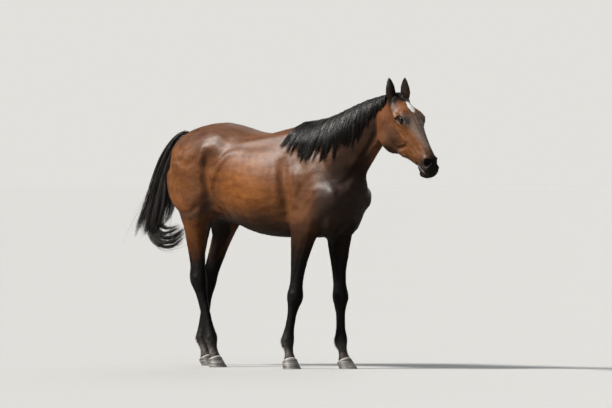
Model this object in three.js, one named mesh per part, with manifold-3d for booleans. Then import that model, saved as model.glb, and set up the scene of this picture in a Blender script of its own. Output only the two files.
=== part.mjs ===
// A standing bay horse, life size: 1.6 m at the withers.
// Millimetres. +X points to the horse's front, +Y to its left, +Z up, and the hooves stand on z = 0.
// The flesh is modelled as clay: lofts give each mass its outline, rods give the muscles and bones under the
// skin, and a smooth union blends them. Closed capsules are then wrapped onto that clay, joined into one
// body and parted with thin cuts into head, neck, trunk and legs.

import * as THREE from "three";
import { mergeVertices } from "three/addons/utils/BufferGeometryUtils.js";
import Module from "manifold-3d";

const wasm = await Module();
wasm.setup();

// ---------------------------------------------------------------- driving sizes

const GAP = 0.4; // clearance between neighbouring solids
const WITHERS = 1600; // height of the withers over the ground
const CROUP = 1612;
const BACK = 1538; // lowest point of the back
const DOCK = -757; // where the tail leaves the croup, along x
const GIRTH_FLOOR = 853; // underside of the chest between the forelegs
const HEAD_LENGTH = 600; // poll to the tip of the upper lip
const POLL = new THREE.Vector3(1190, -60, 1786);
const HEAD_YAW = THREE.MathUtils.degToRad(-6.5); // turned a little to the horse's right
const HEAD_PITCH = THREE.MathUtils.degToRad(48); // the nose hangs this far below the horizontal
const EYE_RADIUS = 21;
const EAR_LENGTH = 146;
const EAR_OPENING = { right: 168, left: -12 }; // the right ear is turned back, the left one pricked

// Joint centres of each leg, [x, y, z], and the hoof's middle on the ground with its turn about +Z in degrees.
const FORE_RIGHT = {
  side: -1,
  elbow: [452, -150, 925],
  knee: [376, -142, 470],
  fetlock: [310, -140, 186],
  hoof: [352, -148],
  turn: -22,
};
const FORE_LEFT = {
  side: 1,
  elbow: [488, 148, 925],
  knee: [524, 136, 468],
  fetlock: [536, 128, 186],
  hoof: [598, 126],
  turn: 0,
};
const HIND_RIGHT = {
  side: -1,
  stifle: [-415, -172, 1015],
  hock: [-468, -150, 580],
  fetlock: [-368, -140, 190],
  hoof: [-306, -142],
  turn: -8,
};
const HIND_LEFT = {
  side: 1,
  stifle: [-412, 170, 985],
  hock: [-655, 150, 566],
  fetlock: [-698, 138, 188],
  hoof: [-628, 134],
  turn: 4,
};

// ---------------------------------------------------------------- clay

const clamp = THREE.MathUtils.clamp;
const vector = (p) => new THREE.Vector3(...p);

// A tapered rod with round ends. flat scales its thickness across the horse.
class Rod {
  constructor(from, to, fromRadius, toRadius = fromRadius, flat = 1) {
    this.from = from;
    this.run = to.map((v, i) => v - from[i]);
    this.length2 = this.run.reduce((sum, v) => sum + v * v, 0) || 1;
    this.fromRadius = fromRadius;
    this.taper = toRadius - fromRadius;
    this.flat = flat;
  }

  distance(x, y, z) {
    const [ax, ay, az] = this.from;
    const [rx, ry, rz] = this.run;
    const t = clamp(((x - ax) * rx + (y - ay) * ry + (z - az) * rz) / this.length2, 0, 1);
    const across = (y - ay - t * ry) / this.flat;
    return Math.hypot(x - ax - t * rx, across, z - az - t * rz) - this.fromRadius - t * this.taper;
  }
}

// A body of oval sections. Each section is given by its upper and lower edge in the side plane, [x, z], how
// far it reaches to each side, how far up the section its widest level lies, and how square its two halves
// are: 2 is an ellipse, less is more pointed, more is boxier.
class Loft {
  constructor(sections, samples = 72) {
    const curve = (pick) =>
      new THREE.CatmullRomCurve3(sections.map((s) => vector(pick(s))), false, "catmullrom", 0.5);
    this.edges = [
      curve((s) => [s.top[0], s.y ?? 0, s.top[1]]),
      curve((s) => [s.bottom[0], s.yBottom ?? s.y ?? 0, s.bottom[1]]),
    ];
    this.sizes = curve((s) => [s.half, s.widest ?? 0.5, 0]);
    this.corners = curve((s) => [s.roof ?? 2, s.floor ?? 2, 0]);
    this.samples = Array.from({ length: samples + 1 }, (_, i) => this.at(i / samples));
  }

  // The section at share t of the way from the first to the last.
  at(t) {
    const [top, bottom] = this.edges.map((edge) => edge.getPoint(t));
    const [sizes, corners] = [this.sizes.getPoint(t), this.corners.getPoint(t)];
    const up = top.clone().sub(bottom);
    const height = up.length();
    up.divideScalar(height);
    const side = new THREE.Vector3(0, 1, 0).addScaledVector(up, -up.y).normalize();
    return {
      centre: bottom.clone().addScaledVector(up, height * sizes.y),
      up,
      side,
      along: side.clone().cross(up),
      rise: height * (1 - sizes.y),
      drop: height * sizes.y,
      half: sizes.x,
      roof: corners.x,
      floor: corners.y,
    };
  }

  distance(x, y, z) {
    let best = Infinity;
    let before = null;
    for (const [i, s] of this.samples.entries()) {
      const dx = x - s.centre.x;
      const dy = y - s.centre.y;
      const dz = z - s.centre.z;
      const ahead = dx * s.along.x + dy * s.along.y + dz * s.along.z;
      const here = { s, dx, dy, dz, ahead };
      if (i === 0 && ahead < 0) best = Math.min(best, Loft.toSection(here, here, 0, -ahead));
      if (before && before.ahead >= 0 && ahead < 0)
        best = Math.min(best, Loft.toSection(before, here, before.ahead / (before.ahead - ahead), 0));
      if (i === this.samples.length - 1 && ahead >= 0)
        best = Math.min(best, Loft.toSection(here, here, 0, ahead));
      before = here;
    }
    return best;
  }

  // Distance to the section at share t between samples a and b, seen from `past` beyond the loft's end.
  static toSection(a, b, t, past) {
    const mix = (pick) => pick(a) + (pick(b) - pick(a)) * t;
    const up = mix(({ s, dx, dy, dz }) => dx * s.up.x + dy * s.up.y + dz * s.up.z);
    const out = Math.abs(mix(({ s, dx, dy, dz }) => dx * s.side.x + dy * s.side.y + dz * s.side.z));
    const reach = up > 0 ? mix(({ s }) => s.rise) : mix(({ s }) => s.drop);
    const corner = up > 0 ? mix(({ s }) => s.roof) : mix(({ s }) => s.floor);
    const half = mix(({ s }) => s.half);
    const share = ((Math.abs(up) / reach) ** corner + (out / half) ** corner) ** (1 / corner);
    const gap = share < 1e-6 ? -Math.min(reach, half) : Math.hypot(up, out) * (1 - 1 / share);
    return past > 0 ? Math.hypot(Math.max(gap, 0), past) : gap;
  }
}

// Clay holds lumps that blend smoothly over `blend` mm, and hollows that are pressed into them.
class Clay {
  constructor() {
    this.lumps = [];
    this.hollows = [];
  }

  add(blend, ...shapes) {
    this.lumps.push(...shapes.map((shape) => ({ shape, blend })));
    return this;
  }

  carve(blend, ...shapes) {
    this.hollows.push(...shapes.map((shape) => ({ shape, blend })));
    return this;
  }

  distance(x, y, z) {
    let d = Infinity;
    for (const { shape, blend } of this.lumps) d = smoothMin(d, shape.distance(x, y, z), blend);
    for (const { shape, blend } of this.hollows) d = -smoothMin(-d, shape.distance(x, y, z), blend);
    return d;
  }
}

function smoothMin(a, b, blend) {
  const near = Math.max(blend - Math.abs(a - b), 0) / blend;
  return Math.min(a, b) - (near * near * blend) / 4;
}

// The same clay with its surface moved inwards, so that what blends out of it dives under its skin.
class Shrunk {
  constructor(shape, depth) {
    this.shape = shape;
    this.depth = depth;
  }

  distance(x, y, z) {
    return this.shape.distance(x, y, z) + this.depth;
  }
}

// Clay that was shaped in a frame of its own, such as the head's.
class Placed {
  constructor(shape, matrix) {
    this.shape = shape;
    this.inverse = matrix.clone().invert();
    this.point = new THREE.Vector3();
  }

  distance(x, y, z) {
    const p = this.point.set(x, y, z).applyMatrix4(this.inverse);
    return this.shape.distance(p.x, p.y, p.z);
  }
}

// ---------------------------------------------------------------- from clay to solids

// How far the clay reaches from a point inside it, along a direction.
function reachOf(clay, from, direction, most, step = 6) {
  const p = new THREE.Vector3();
  const outside = (r) => {
    p.copy(from).addScaledVector(direction, r);
    return clay.distance(p.x, p.y, p.z) > 0;
  };
  if (outside(0)) return 1;
  let [low, high] = [0, step];
  while (high < most && !outside(high)) [low, high] = [high, high + step];
  if (high >= most) return most;
  for (let i = 0; i < 10; i += 1) {
    const middle = (low + high) / 2;
    if (outside(middle)) high = middle;
    else low = middle;
  }
  return (low + high) / 2;
}

// A closed capsule stretched along the loft's line from share `from` to share `to`, each of its points
// pushed out to the clay's surface.
function wrap(loft, clay, { around, along, cap = 3, from = 0, to = 1, spread = 3 }) {
  const capsule = new THREE.CapsuleGeometry(1, 1, cap, around, along);
  const place = capsule.getAttribute("position");
  const direction = new THREE.Vector3();
  for (let i = 0; i < place.count; i += 1) {
    const level = clamp(place.getY(i), -0.5, 0.5);
    const s = loft.at(from + (level + 0.5) * (to - from));
    direction
      .copy(s.up)
      .multiplyScalar(place.getX(i))
      .addScaledVector(s.side, place.getZ(i))
      .addScaledVector(s.along, place.getY(i) - level)
      .normalize();
    const reach = reachOf(clay, s.centre, direction, spread * Math.max(s.rise, s.drop, s.half));
    direction.multiplyScalar(reach).add(s.centre);
    place.setXYZ(i, direction.x, direction.y, direction.z);
  }
  return solidOf(capsule);
}

// The solid of a closed geometry, with its doubled vertices merged and its collapsed triangles left out.
function solidOf(geometry, matrix = new THREE.Matrix4()) {
  const bare = new THREE.BufferGeometry().setAttribute("position", geometry.getAttribute("position").clone());
  bare.setIndex(geometry.index ? geometry.index.clone() : null);
  bare.applyMatrix4(matrix);
  const merged = mergeVertices(bare, 1e-3);
  const corners = merged.index.array;
  const kept = [];
  for (let i = 0; i < corners.length; i += 3) {
    const [a, b, c] = corners.slice(i, i + 3);
    if (a !== b && b !== c && c !== a) kept.push(a, b, c);
  }
  const mesh = new wasm.Mesh({
    numProp: 3,
    vertProperties: new Float32Array(merged.getAttribute("position").array),
    triVerts: new Uint32Array(kept),
  });
  mesh.merge();
  return new wasm.Manifold(mesh);
}

function geometryOf(solid) {
  const mesh = solid.getMesh();
  const points = new Float32Array(mesh.numVert * 3);
  for (let i = 0; i < mesh.numVert; i += 1)
    points.set(mesh.vertProperties.subarray(i * mesh.numProp, i * mesh.numProp + 3), i * 3);
  const geometry = new THREE.BufferGeometry();
  geometry.setAttribute("position", new THREE.BufferAttribute(points, 3));
  geometry.setIndex(new THREE.BufferAttribute(mesh.triVerts, 1));
  geometry.computeVertexNormals();
  return geometry;
}

// The same solid moved aside, to cut clearance with.
function shifted(solid, by) {
  const mesh = solid.getMesh();
  for (let i = 0; i < mesh.vertProperties.length; i += 1) mesh.vertProperties[i] += by[i % mesh.numProp];
  return new wasm.Manifold(mesh);
}

const join = (solids) => solids.reduce((whole, solid) => whole.add(solid));

// ---------------------------------------------------------------- trunk

const trunkLoft = new Loft([
  { top: [-752, 1490], bottom: [-748, 1210], half: 70, widest: 0.55 },
  { top: [-670, 1550], bottom: [-664, 1075], half: 165, widest: 0.6 },
  { top: [-525, 1592], bottom: [-520, 985], half: 222, widest: 0.62, roof: 2.1 },
  { top: [-355, CROUP], bottom: [-355, 950], half: 246, widest: 0.6, roof: 2.1 },
  { top: [-200, 1588], bottom: [-200, 925], half: 262, widest: 0.52, roof: 2 },
  { top: [-60, 1553], bottom: [-60, 882], half: 288, widest: 0.45 },
  { top: [80, BACK], bottom: [80, 858], half: 298, widest: 0.43 },
  { top: [210, 1556], bottom: [210, GIRTH_FLOOR], half: 284, widest: 0.43, roof: 1.85 },
  { top: [320, 1592], bottom: [320, GIRTH_FLOOR], half: 252, widest: 0.44, roof: 1.6 },
  { top: [425, WITHERS], bottom: [425, GIRTH_FLOOR], half: 218, widest: 0.44, roof: 1.5 },
  { top: [540, 1585], bottom: [545, 858], half: 190, widest: 0.46, roof: 1.6 },
  { top: [650, 1510], bottom: [665, 885], half: 168, widest: 0.5, roof: 1.8 },
  { top: [730, 1400], bottom: [745, 970], half: 130, widest: 0.5 },
  { top: [775, 1300], bottom: [785, 1060], half: 86, widest: 0.5 },
]);

// The muscles that one side carries on the trunk, for the two legs of that side.
function shoulderLumps(side, elbow) {
  const y = (v) => side * v;
  const [ex, , ez] = elbow;
  return [
    new Rod([420, y(88), 1500], [690, y(140), 1150], 46, 70, 0.75), // front of the shoulder blade
    new Rod([350, y(120), 1440], [610, y(168), 1140], 60, 66, 0.7), // back of the shoulder blade
    new Rod([430, y(168), 1240], [ex - 62, y(172), ez + 70], 74, 66, 0.62), // long head of the triceps
    new Rod([600, y(170), 1120], [ex - 30, y(168), ez + 40], 88, 70, 0.55), // lateral head of the triceps
    new Rod([706, y(138), 1100], [ex + 40, y(142), ez + 20], 72, 74, 0.85), // upper arm
    new Rod([724, y(62), 1160], [640, y(92), 950], 84, 78, 0.85), // breast
    new Rod([640, y(66), 935], [300, y(62), 925], 70, 62), // chest floor
  ];
}

function haunchLumps(side, stifle) {
  const y = (v) => side * v;
  const [sx, , sz] = stifle;
  return [
    new Rod([-300, y(140), 1440], [-560, y(150), 1330], 120, 128, 0.9), // middle gluteal
    new Rod([-322, y(226), 1400], [-345, y(214), 1352], 34, 38), // point of the hip
    new Rod([-540, y(150), 1290], [-470, y(168), 1080], 125, 100, 0.9), // broad thigh muscle
    new Rod([-400, y(160), 1270], [-430, y(168), 1060], 112, 76, 0.85), // front of the thigh
    new Rod([-668, y(88), 1405], [-698, y(98), 1225], 86, 86, 0.8), // buttock
    new Rod([sx + 8, y(178), sz + 12], [sx - 6, y(172), sz - 46], 42, 34, 0.9), // kneecap
    new Rod([-300, y(214), 1290], [sx + 50, y(182), sz + 40], 36, 24, 0.5), // fold of the flank
  ];
}

const trunkClay = new Clay().add(40, trunkLoft);
for (const leg of [FORE_RIGHT, FORE_LEFT]) trunkClay.add(34, ...shoulderLumps(leg.side, leg.elbow));
for (const leg of [HIND_RIGHT, HIND_LEFT]) trunkClay.add(46, ...haunchLumps(leg.side, leg.stifle));

// ---------------------------------------------------------------- neck

const neckLoft = new Loft([
  { top: [400, 1596], bottom: [790, 1120], half: 150, y: 0 },
  { top: [520, 1626], bottom: [830, 1215], half: 136, y: 0, roof: 1.8 },
  { top: [640, 1662], bottom: [852, 1300], half: 112, widest: 0.48, y: -3, roof: 1.75 },
  { top: [770, 1706], bottom: [900, 1372], half: 92, widest: 0.46, y: -10, roof: 1.75 },
  { top: [900, 1744], bottom: [972, 1452], half: 78, widest: 0.46, y: -25, roof: 1.8 },
  { top: [1020, 1768], bottom: [1062, 1522], half: 69, widest: 0.48, y: -43, roof: 1.9 },
  { top: [1110, 1778], bottom: [1140, 1572], half: 63, y: -54 },
  { top: [1160, 1770], bottom: [1200, 1600], half: 57, y: -60 },
]);

const neckClay = new Clay().add(
  40,
  neckLoft,
  new Rod([710, -62, 1250], [1040, -66, 1540], 50, 30, 0.8), // long muscle on the right side of the neck
  new Rod([710, 62, 1250], [1040, 0, 1540], 50, 30, 0.8),
  new Rod([838, 0, 1290], [1050, -46, 1518], 34, 31), // windpipe
);

// ---------------------------------------------------------------- head, in its own frame

// x runs from the poll to the lips, y to the horse's left and z out of the face.
const headFrame = new THREE.Matrix4()
  .makeTranslation(POLL)
  .multiply(new THREE.Matrix4().makeRotationZ(HEAD_YAW))
  .multiply(new THREE.Matrix4().makeRotationY(HEAD_PITCH));

const headLoft = new Loft([
  { top: [-30, -22], bottom: [-10, -160], half: 56, widest: 0.55 },
  { top: [6, 0], bottom: [16, -205], half: 64, widest: 0.62 },
  { top: [60, 17], bottom: [66, -252], half: 76, widest: 0.68, floor: 1.9 },
  { top: [122, 28], bottom: [130, -284], half: 86, widest: 0.76, floor: 1.8 },
  { top: [188, 30], bottom: [200, -290], half: 88, widest: 0.79, roof: 2.3, floor: 1.7 },
  { top: [250, 24], bottom: [268, -268], half: 79, widest: 0.76, roof: 2.3, floor: 1.7 },
  { top: [312, 14], bottom: [332, -238], half: 66, widest: 0.7, roof: 2.1, floor: 1.9 },
  { top: [374, 4], bottom: [392, -208], half: 56, widest: 0.64, roof: 2 },
  { top: [432, -6], bottom: [448, -184], half: 51, widest: 0.58 },
  { top: [486, -16], bottom: [498, -166], half: 53, widest: 0.55 },
  { top: [532, -30], bottom: [542, -168], half: 54, widest: 0.56 },
  { top: [570, -54], bottom: [574, -166], half: 46, widest: 0.56 },
  { top: [HEAD_LENGTH - 6, -88], bottom: [594, -146], half: 30, widest: 0.5 },
]);

const eyePlace = (side) => [206, side * 83, -24];

function faceLumps(side) {
  const y = (v) => side * v;
  return [
    new Rod([112, y(54), -160], [196, y(52), -160], 86, 84, 0.4), // cheek muscle
    new Rod([60, y(50), -146], [132, y(48), -238], 38, 38, 0.8), // corner of the jaw
    new Rod([132, y(48), -238], [360, y(30), -198], 38, 20, 0.8), // lower edge of the jaw
    new Rod([156, y(76), 6], [214, y(86), 4], 19, 18), // bone over the eye
    new Rod([214, y(86), 4], [246, y(77), -20], 18, 15),
    new Rod([76, y(72), -36], [176, y(86), -52], 17, 17), // cheekbone behind the eye
    new Rod([176, y(86), -52], [238, y(78), -60], 17, 15),
    new Rod([244, y(72), -78], [350, y(55), -92], 13, 10), // facial crest
    new Rod([540, y(38), -58], [572, y(40), -90], 27, 24), // nostril
    new Rod([22, y(52), -12], [40, y(54), -18], 28, 28), // root of the ear
  ];
}

const headClay = new Clay().add(22, headLoft);
for (const side of [-1, 1]) headClay.add(20, ...faceLumps(side));
headClay.add(
  16,
  new Rod([590, 0, -104], [580, 0, -130], 32, 30, 1.3), // upper lip
  new Rod([566, 0, -160], [540, 0, -164], 22, 25, 1.3), // lower lip and chin
);
for (const side of [-1, 1])
  headClay.carve(
    10,
    new Rod([580, side * 70, -76], [552, side * 50, -70], 14, 11), // nostril opening
    new Rod([106, side * 106, 20], [150, side * 103, 20], 22, 20), // hollow over the eye
    new Rod([190, side * 114, -22], [222, side * 110, -27], 18), // opening of the lids
  );

// ---------------------------------------------------------------- legs

// Where each section of a leg lies: bone segment, share along it, and how far the flesh reaches to the
// front, to the back and to each side.
const FORE_SECTIONS = [
  [0, -0.3, 110, 110, 48],
  [0, -0.12, 124, 112, 56],
  [0, 0.04, 128, 106, 60],
  [0, 0.18, 108, 94, 58],
  [0, 0.38, 74, 76, 52],
  [0, 0.6, 51, 60, 43],
  [0, 0.81, 44, 54, 39],
  [0, 0.93, 47, 52, 43],
  [1, 0.04, 48, 52, 44],
  [1, 0.15, 38, 44, 35],
  [1, 0.3, 31, 37, 27],
  [1, 0.55, 30, 36, 25],
  [1, 0.78, 31, 38, 28],
  [1, 0.93, 38, 45, 36],
  [2, 0.03, 39, 50, 38],
  [2, 0.25, 33, 40, 33],
  [2, 0.55, 30, 31, 31],
  [2, 0.8, 36, 33, 38],
  [2, 1.0, 44, 40, 46],
  [2, 1.3, 46, 40, 46],
];

const HIND_SECTIONS = [
  [0, 0, 50, 320, 66],
  [0, 0.34, 58, 318, 80],
  [0, 0.68, 52, 284, 86],
  [0, 0.94, 38, 216, 80],
  [1, 0.2, 28, 160, 66],
  [1, 0.39, 29, 132, 54],
  [1, 0.57, 36, 109, 45],
  [1, 0.72, 43, 86, 40],
  [1, 0.85, 45, 60, 39],
  [1, 0.96, 49, 52, 44],
  [2, 0.08, 50, 52, 46],
  [2, 0.2, 42, 47, 38],
  [2, 0.34, 34, 41, 30],
  [2, 0.56, 32, 38, 26],
  [2, 0.78, 33, 39, 29],
  [2, 0.93, 40, 46, 37],
  [3, 0.03, 41, 51, 39],
  [3, 0.25, 34, 41, 34],
  [3, 0.55, 31, 32, 32],
  [3, 0.8, 37, 33, 39],
  [3, 1.0, 45, 40, 46],
  [3, 1.3, 47, 40, 46],
];

// The hoof's outline: where its wall meets the hair (the coronet) and the ground, about its own middle.
const CORONET = { back: 34, height: 52, length: 43, width: 48, rise: 17 };
const SOLE = { toe: 66, heel: 54, width: 60 };

function hoofFrame({ hoof, turn }) {
  return new THREE.Matrix4()
    .makeTranslation(hoof[0], hoof[1], 0)
    .multiply(new THREE.Matrix4().makeRotationZ(THREE.MathUtils.degToRad(turn)));
}

function coronetOf(leg) {
  return vector([-CORONET.back, 0, CORONET.height]).applyMatrix4(hoofFrame(leg)).toArray();
}

function legLoft(joints, sections) {
  const middles = sections.map(([bone, share]) =>
    joints[bone].map((v, i) => v + (joints[bone + 1][i] - v) * share),
  );
  return new Loft(
    sections.map(([, , front, back, half], i) => {
      const before = middles[Math.max(i - 1, 0)];
      const after = middles[Math.min(i + 1, middles.length - 1)];
      const [dx, dz] = [after[0] - before[0], after[2] - before[2]];
      const length = Math.hypot(dx, dz);
      const [fx, fz] = [-dz / length, dx / length];
      const [x, y, z] = middles[i];
      return {
        top: [x + front * fx, z + front * fz],
        bottom: [x - back * fx, z - back * fz],
        y,
        half,
        widest: 0.52,
      };
    }),
    96,
  );
}

function foreLeg(leg) {
  const { side, elbow, knee, fetlock } = leg;
  const loft = legLoft([elbow, knee, fetlock, coronetOf(leg)], FORE_SECTIONS);
  const [ex, ey, ez] = elbow;
  const [kx, ky, kz] = knee;
  const [fx, fy, fz] = fetlock;
  const clay = new Clay()
    .add(24, loft)
    .add(
      18,
      new Rod([ex - 78, ey + side * 6, ez + 28], [ex - 62, ey, ez - 60], 34, 26), // point of the elbow
      new Rod([ex + 46, ey + side * 14, ez - 40], [ex * 0.45 + kx * 0.55 + 26, ey + side * 8, 690], 42, 26),
    )
    .add(
      10,
      new Rod([kx - 38, ky + side * 10, kz + 22], [kx - 42, ky + side * 6, kz + 4], 16, 14), // rear of the knee
      new Rod([fx - 34, fy, fz + 4], [fx - 36, fy, fz - 16], 17, 14), // ankle's rear bones
    );
  return { loft, clay };
}

function hindLeg(leg) {
  const { side, stifle, hock, fetlock } = leg;
  const thigh = [-430, side * 160, 1290];
  const loft = legLoft([thigh, stifle, hock, fetlock, coronetOf(leg)], HIND_SECTIONS);
  const [sx, sy, sz] = stifle;
  const [hx, hy, hz] = hock;
  const [fx, fy, fz] = fetlock;
  const heel = [hx - 62, hy, hz + 34]; // point of the hock
  const innerThigh = [sx - 74, side * 104, sz - 70];
  const innerGaskin = [(innerThigh[0] + hx) / 2, side * 132, (innerThigh[2] + hz) / 2];
  const clay = new Clay()
    .add(24, loft)
    .add(
      16,
      new Rod([-600, side * 92, 1210], innerThigh, 98, 70), // inside of the thigh
      new Rod(innerThigh, innerGaskin, 70, 44), // inside of the gaskin
      new Rod([hx - 18, hy, hz - 26], heel, 34, 22),
      new Rod([sx * 0.6 + hx * 0.4 - 96, sy, sz * 0.6 + hz * 0.4], heel, 30, 15, 0.8), // Achilles tendon
      new Rod([hx - 22, hy, hz - 20], [hx * 0.8 + fx * 0.2 - 34, hy, hz * 0.8 + fz * 0.2], 32, 16, 0.8),
    )
    .add(10, new Rod([fx - 36, fy, fz + 4], [fx - 38, fy, fz - 16], 17, 14));
  return { loft, clay };
}

// ---------------------------------------------------------------- hooves

// The coronet's plane is the top of the hoof. `up` tells how far along the wall a point lies.
function hoofSolid(leg) {
  const block = new THREE.CylinderGeometry(1, 1, 1, 18);
  const place = block.getAttribute("position");
  for (let i = 0; i < place.count; i += 1) {
    const [forward, across, up] = [place.getX(i), place.getZ(i), place.getY(i) + 0.5];
    const ground = [forward * (forward > 0 ? SOLE.toe : SOLE.heel), across * SOLE.width, 0];
    const coronet = [
      forward * CORONET.length - CORONET.back,
      across * CORONET.width,
      CORONET.height - GAP + CORONET.rise * forward,
    ];
    const at = ground.map((v, k) => v + (coronet[k] - v) * up);
    place.setXYZ(i, at[0], -at[1], at[2]);
  }
  return solidOf(block, hoofFrame(leg));
}

// Everything of the leg that would lie below the coronet.
function underCoronet(leg) {
  const slope = new THREE.Matrix4().makeRotationY(-Math.atan2(CORONET.rise, CORONET.length));
  const place = hoofFrame(leg)
    .multiply(new THREE.Matrix4().makeTranslation(-CORONET.back, 0, CORONET.height))
    .multiply(slope);
  return block({ size: [400, 300, 200], at: [0, 0, -100], place });
}

// ---------------------------------------------------------------- eyes and ears

const EAR = { root: [34, 54, -26], width: 33, depth: 22, wall: 6, lean: 0.06, back: -0.09 };

function eyeSolid(side, radius) {
  const place = headFrame.clone().multiply(new THREE.Matrix4().makeTranslation(...eyePlace(side)));
  return solidOf(new THREE.SphereGeometry(radius, 14, 8), place);
}

// A long leaf with a pointed tip that stands on its root; z is the side that opens.
function earLeaf(width, depth, shift, from) {
  const leaf = new THREE.SphereGeometry(1, 10, 8);
  const place = leaf.getAttribute("position");
  for (let i = 0; i < place.count; i += 1) {
    const up = (place.getY(i) + 1) / 2;
    const taper = (1 - 0.62 * up ** 3) * (0.86 + 0.5 * up * (1 - up));
    const curl = 12 * (up - 0.35) ** 2;
    place.setXYZ(
      i,
      place.getX(i) * width * taper,
      from + up * (EAR_LENGTH - from),
      place.getZ(i) * depth * taper + shift + curl,
    );
  }
  return leaf;
}

// opening: where the ear's hollow faces, in degrees about +Z from the horse's front.
function earFrame(side, opening) {
  const root = vector([EAR.root[0], side * EAR.root[1], EAR.root[2]]).applyMatrix4(headFrame);
  const up = new THREE.Vector3(EAR.back, side * EAR.lean, 1).normalize();
  const turn = THREE.MathUtils.degToRad(opening);
  const out = new THREE.Vector3(Math.cos(turn), Math.sin(turn), 0);
  out.addScaledVector(up, -out.dot(up)).normalize();
  return new THREE.Matrix4().makeBasis(up.clone().cross(out), up, out).setPosition(root);
}

function earSolid(frame) {
  const leaf = solidOf(earLeaf(EAR.width, EAR.depth, 0, 0), frame);
  const scoop = solidOf(earLeaf(EAR.width - EAR.wall, EAR.depth + 4, 13, 34), frame);
  return leaf.subtract(scoop);
}

// The ear's root sits in a socket that clears it all round.
const earSocket = (frame) => solidOf(earLeaf(EAR.width + 2 * GAP, EAR.depth + 2 * GAP, 0, -3), frame);

// ---------------------------------------------------------------- hair

// A bent slab of hair: `place` gives the point at share u of its width, v of its length and w of its depth.
function hairSlab(columns, rows, place) {
  const slab = new THREE.BoxGeometry(1, 1, 1, columns, rows, 1);
  const at = slab.getAttribute("position");
  for (let i = 0; i < at.count; i += 1) {
    const p = place(0.5 - at.getX(i), at.getY(i) + 0.5, at.getZ(i) + 0.5);
    at.setXYZ(i, p.x, p.y, p.z);
  }
  return solidOf(slab);
}

function outwards(clay, p) {
  const d = (dx, dy, dz) => clay.distance(p.x + dx, p.y + dy, p.z + dz);
  const slope = [d(2, 0, 0) - d(-2, 0, 0), d(0, 2, 0) - d(0, -2, 0), d(0, 0, 2) - d(0, 0, -2)];
  return vector(slope).normalize();
}

// Share along a list of evenly spaced values.
function along(values, share) {
  const at = clamp(share, 0, 1) * (values.length - 1);
  const i = Math.min(Math.floor(at), values.length - 2);
  return values[i] + (values[i + 1] - values[i]) * (at - i);
}

const MANE = {
  from: 352, // x of its first hair, at the withers
  to: 1150, // x of its last, behind the ears
  fall: [70, 150, 205, 245, 270, 275, 268, 250, 205, 150, 95, 50], // how far it hangs, from withers to poll
  sweep: [60, 66, 60, 52, 46, 42, 40, 34, 26, 18, 10, 4], // how far its tips lie behind its roots
  lock: 41, // locks counted over its length, twice
  clear: 7, // how far it lies off the coat
};

function maneSolid(clay) {
  const up = new THREE.Vector3(0, 0, 1);
  const right = new THREE.Vector3(0, -1, 0);
  return hairSlab(26, 3, (u, v, w) => {
    const rootX = MANE.from + u * (MANE.to - MANE.from);
    const lock = 1 + 0.07 * Math.cos(u * MANE.lock * Math.PI);
    const x = rootX - v * along(MANE.sweep, u);
    const middle = x < 640 ? 0 : (-60 * (x - 640)) / 520;
    const start = 1400 + 0.45 * Math.max(x - 640, 0);
    const crest = start + reachOf(clay, new THREE.Vector3(x, middle, start), up, 500);
    const z = crest - 2 - v * along(MANE.fall, u) * lock;
    const y = middle - reachOf(clay, new THREE.Vector3(x, middle, z), right, 300);
    const p = new THREE.Vector3(x, y, z);
    const swell = v < 0.9 ? 8 + 10 * Math.sin(Math.PI * Math.min(v * 1.3, 1)) : 6;
    const thick = swell * Math.min(1, 0.6 + 3 * u * (1 - u));
    return p.addScaledVector(outwards(clay, p), MANE.clear + w * thick);
  });
}

const FORELOCK = { from: -14, to: 84, half: 26, clear: 5, thick: 8 };

function forelockSolid() {
  return hairSlab(6, 4, (u, v, w) => {
    const x = FORELOCK.from + v * (FORELOCK.to - FORELOCK.from) * (1 - 0.25 * Math.abs(2 * u - 1));
    const y = (2 * u - 1) * FORELOCK.half * (1 - 0.6 * v) - 6 * v;
    const from = new THREE.Vector3(x, y, -60);
    const z = -60 + reachOf(headClay, from, new THREE.Vector3(0, 0, 1), 200);
    const p = new THREE.Vector3(x, y, z);
    p.addScaledVector(outwards(headClay, p), FORELOCK.clear + w * FORELOCK.thick);
    return p.applyMatrix4(headFrame);
  });
}

// The tail, from its tip, which curls forward, up behind the buttocks to the croup.
const tailLoft = new Loft([
  { top: [-748, 815], bottom: [-722, 900], half: 24, y: -128 },
  { top: [-836, 772], bottom: [-770, 888], half: 42, y: -122 },
  { top: [-936, 768], bottom: [-822, 882], half: 52, y: -116 },
  { top: [-1028, 800], bottom: [-858, 890], half: 58, y: -110 },
  { top: [-1078, 880], bottom: [-872, 918], half: 60, y: -104 },
  { top: [-1052, 960], bottom: [-860, 965], half: 60, y: -98 },
  { top: [-1000, 1040], bottom: [-838, 1030], half: 56, y: -88 },
  { top: [-958, 1132], bottom: [-826, 1120], half: 50, y: -75 },
  { top: [-930, 1238], bottom: [-828, 1232], half: 45, y: -60 },
  { top: [-905, 1350], bottom: [-822, 1322], half: 42, y: -42 },
  { top: [-872, 1436], bottom: [-806, 1392], half: 40, y: -24 },
  { top: [-828, 1508], bottom: [-792, 1440], half: 38, y: -10 },
  { top: [-768, 1552], bottom: [-760, 1478], half: 34, y: -2 },
  { top: [-700, 1560], bottom: [-715, 1490], half: 26, y: 0 },
]);

// ---------------------------------------------------------------- parting

// A box given by its size and middle, in a frame of its own, to part the body with.
function block({ size, at, place = new THREE.Matrix4(), grow = 0 }) {
  const box = new THREE.BoxGeometry(...size.map((v) => v + 2 * grow)).translate(...at);
  return solidOf(box, place);
}

// What lies in front of the line from `a` down to `b` in the side plane, each [x, z].
function beyond(a, b, grow = 0) {
  const place = new THREE.Matrix4()
    .makeTranslation(a[0], 0, a[1])
    .multiply(new THREE.Matrix4().makeRotationY(Math.atan2(a[0] - b[0], a[1] - b[1])));
  return block({ size: [1400, 1600, 2400], at: [700, 0, 0], place, grow });
}

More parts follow.
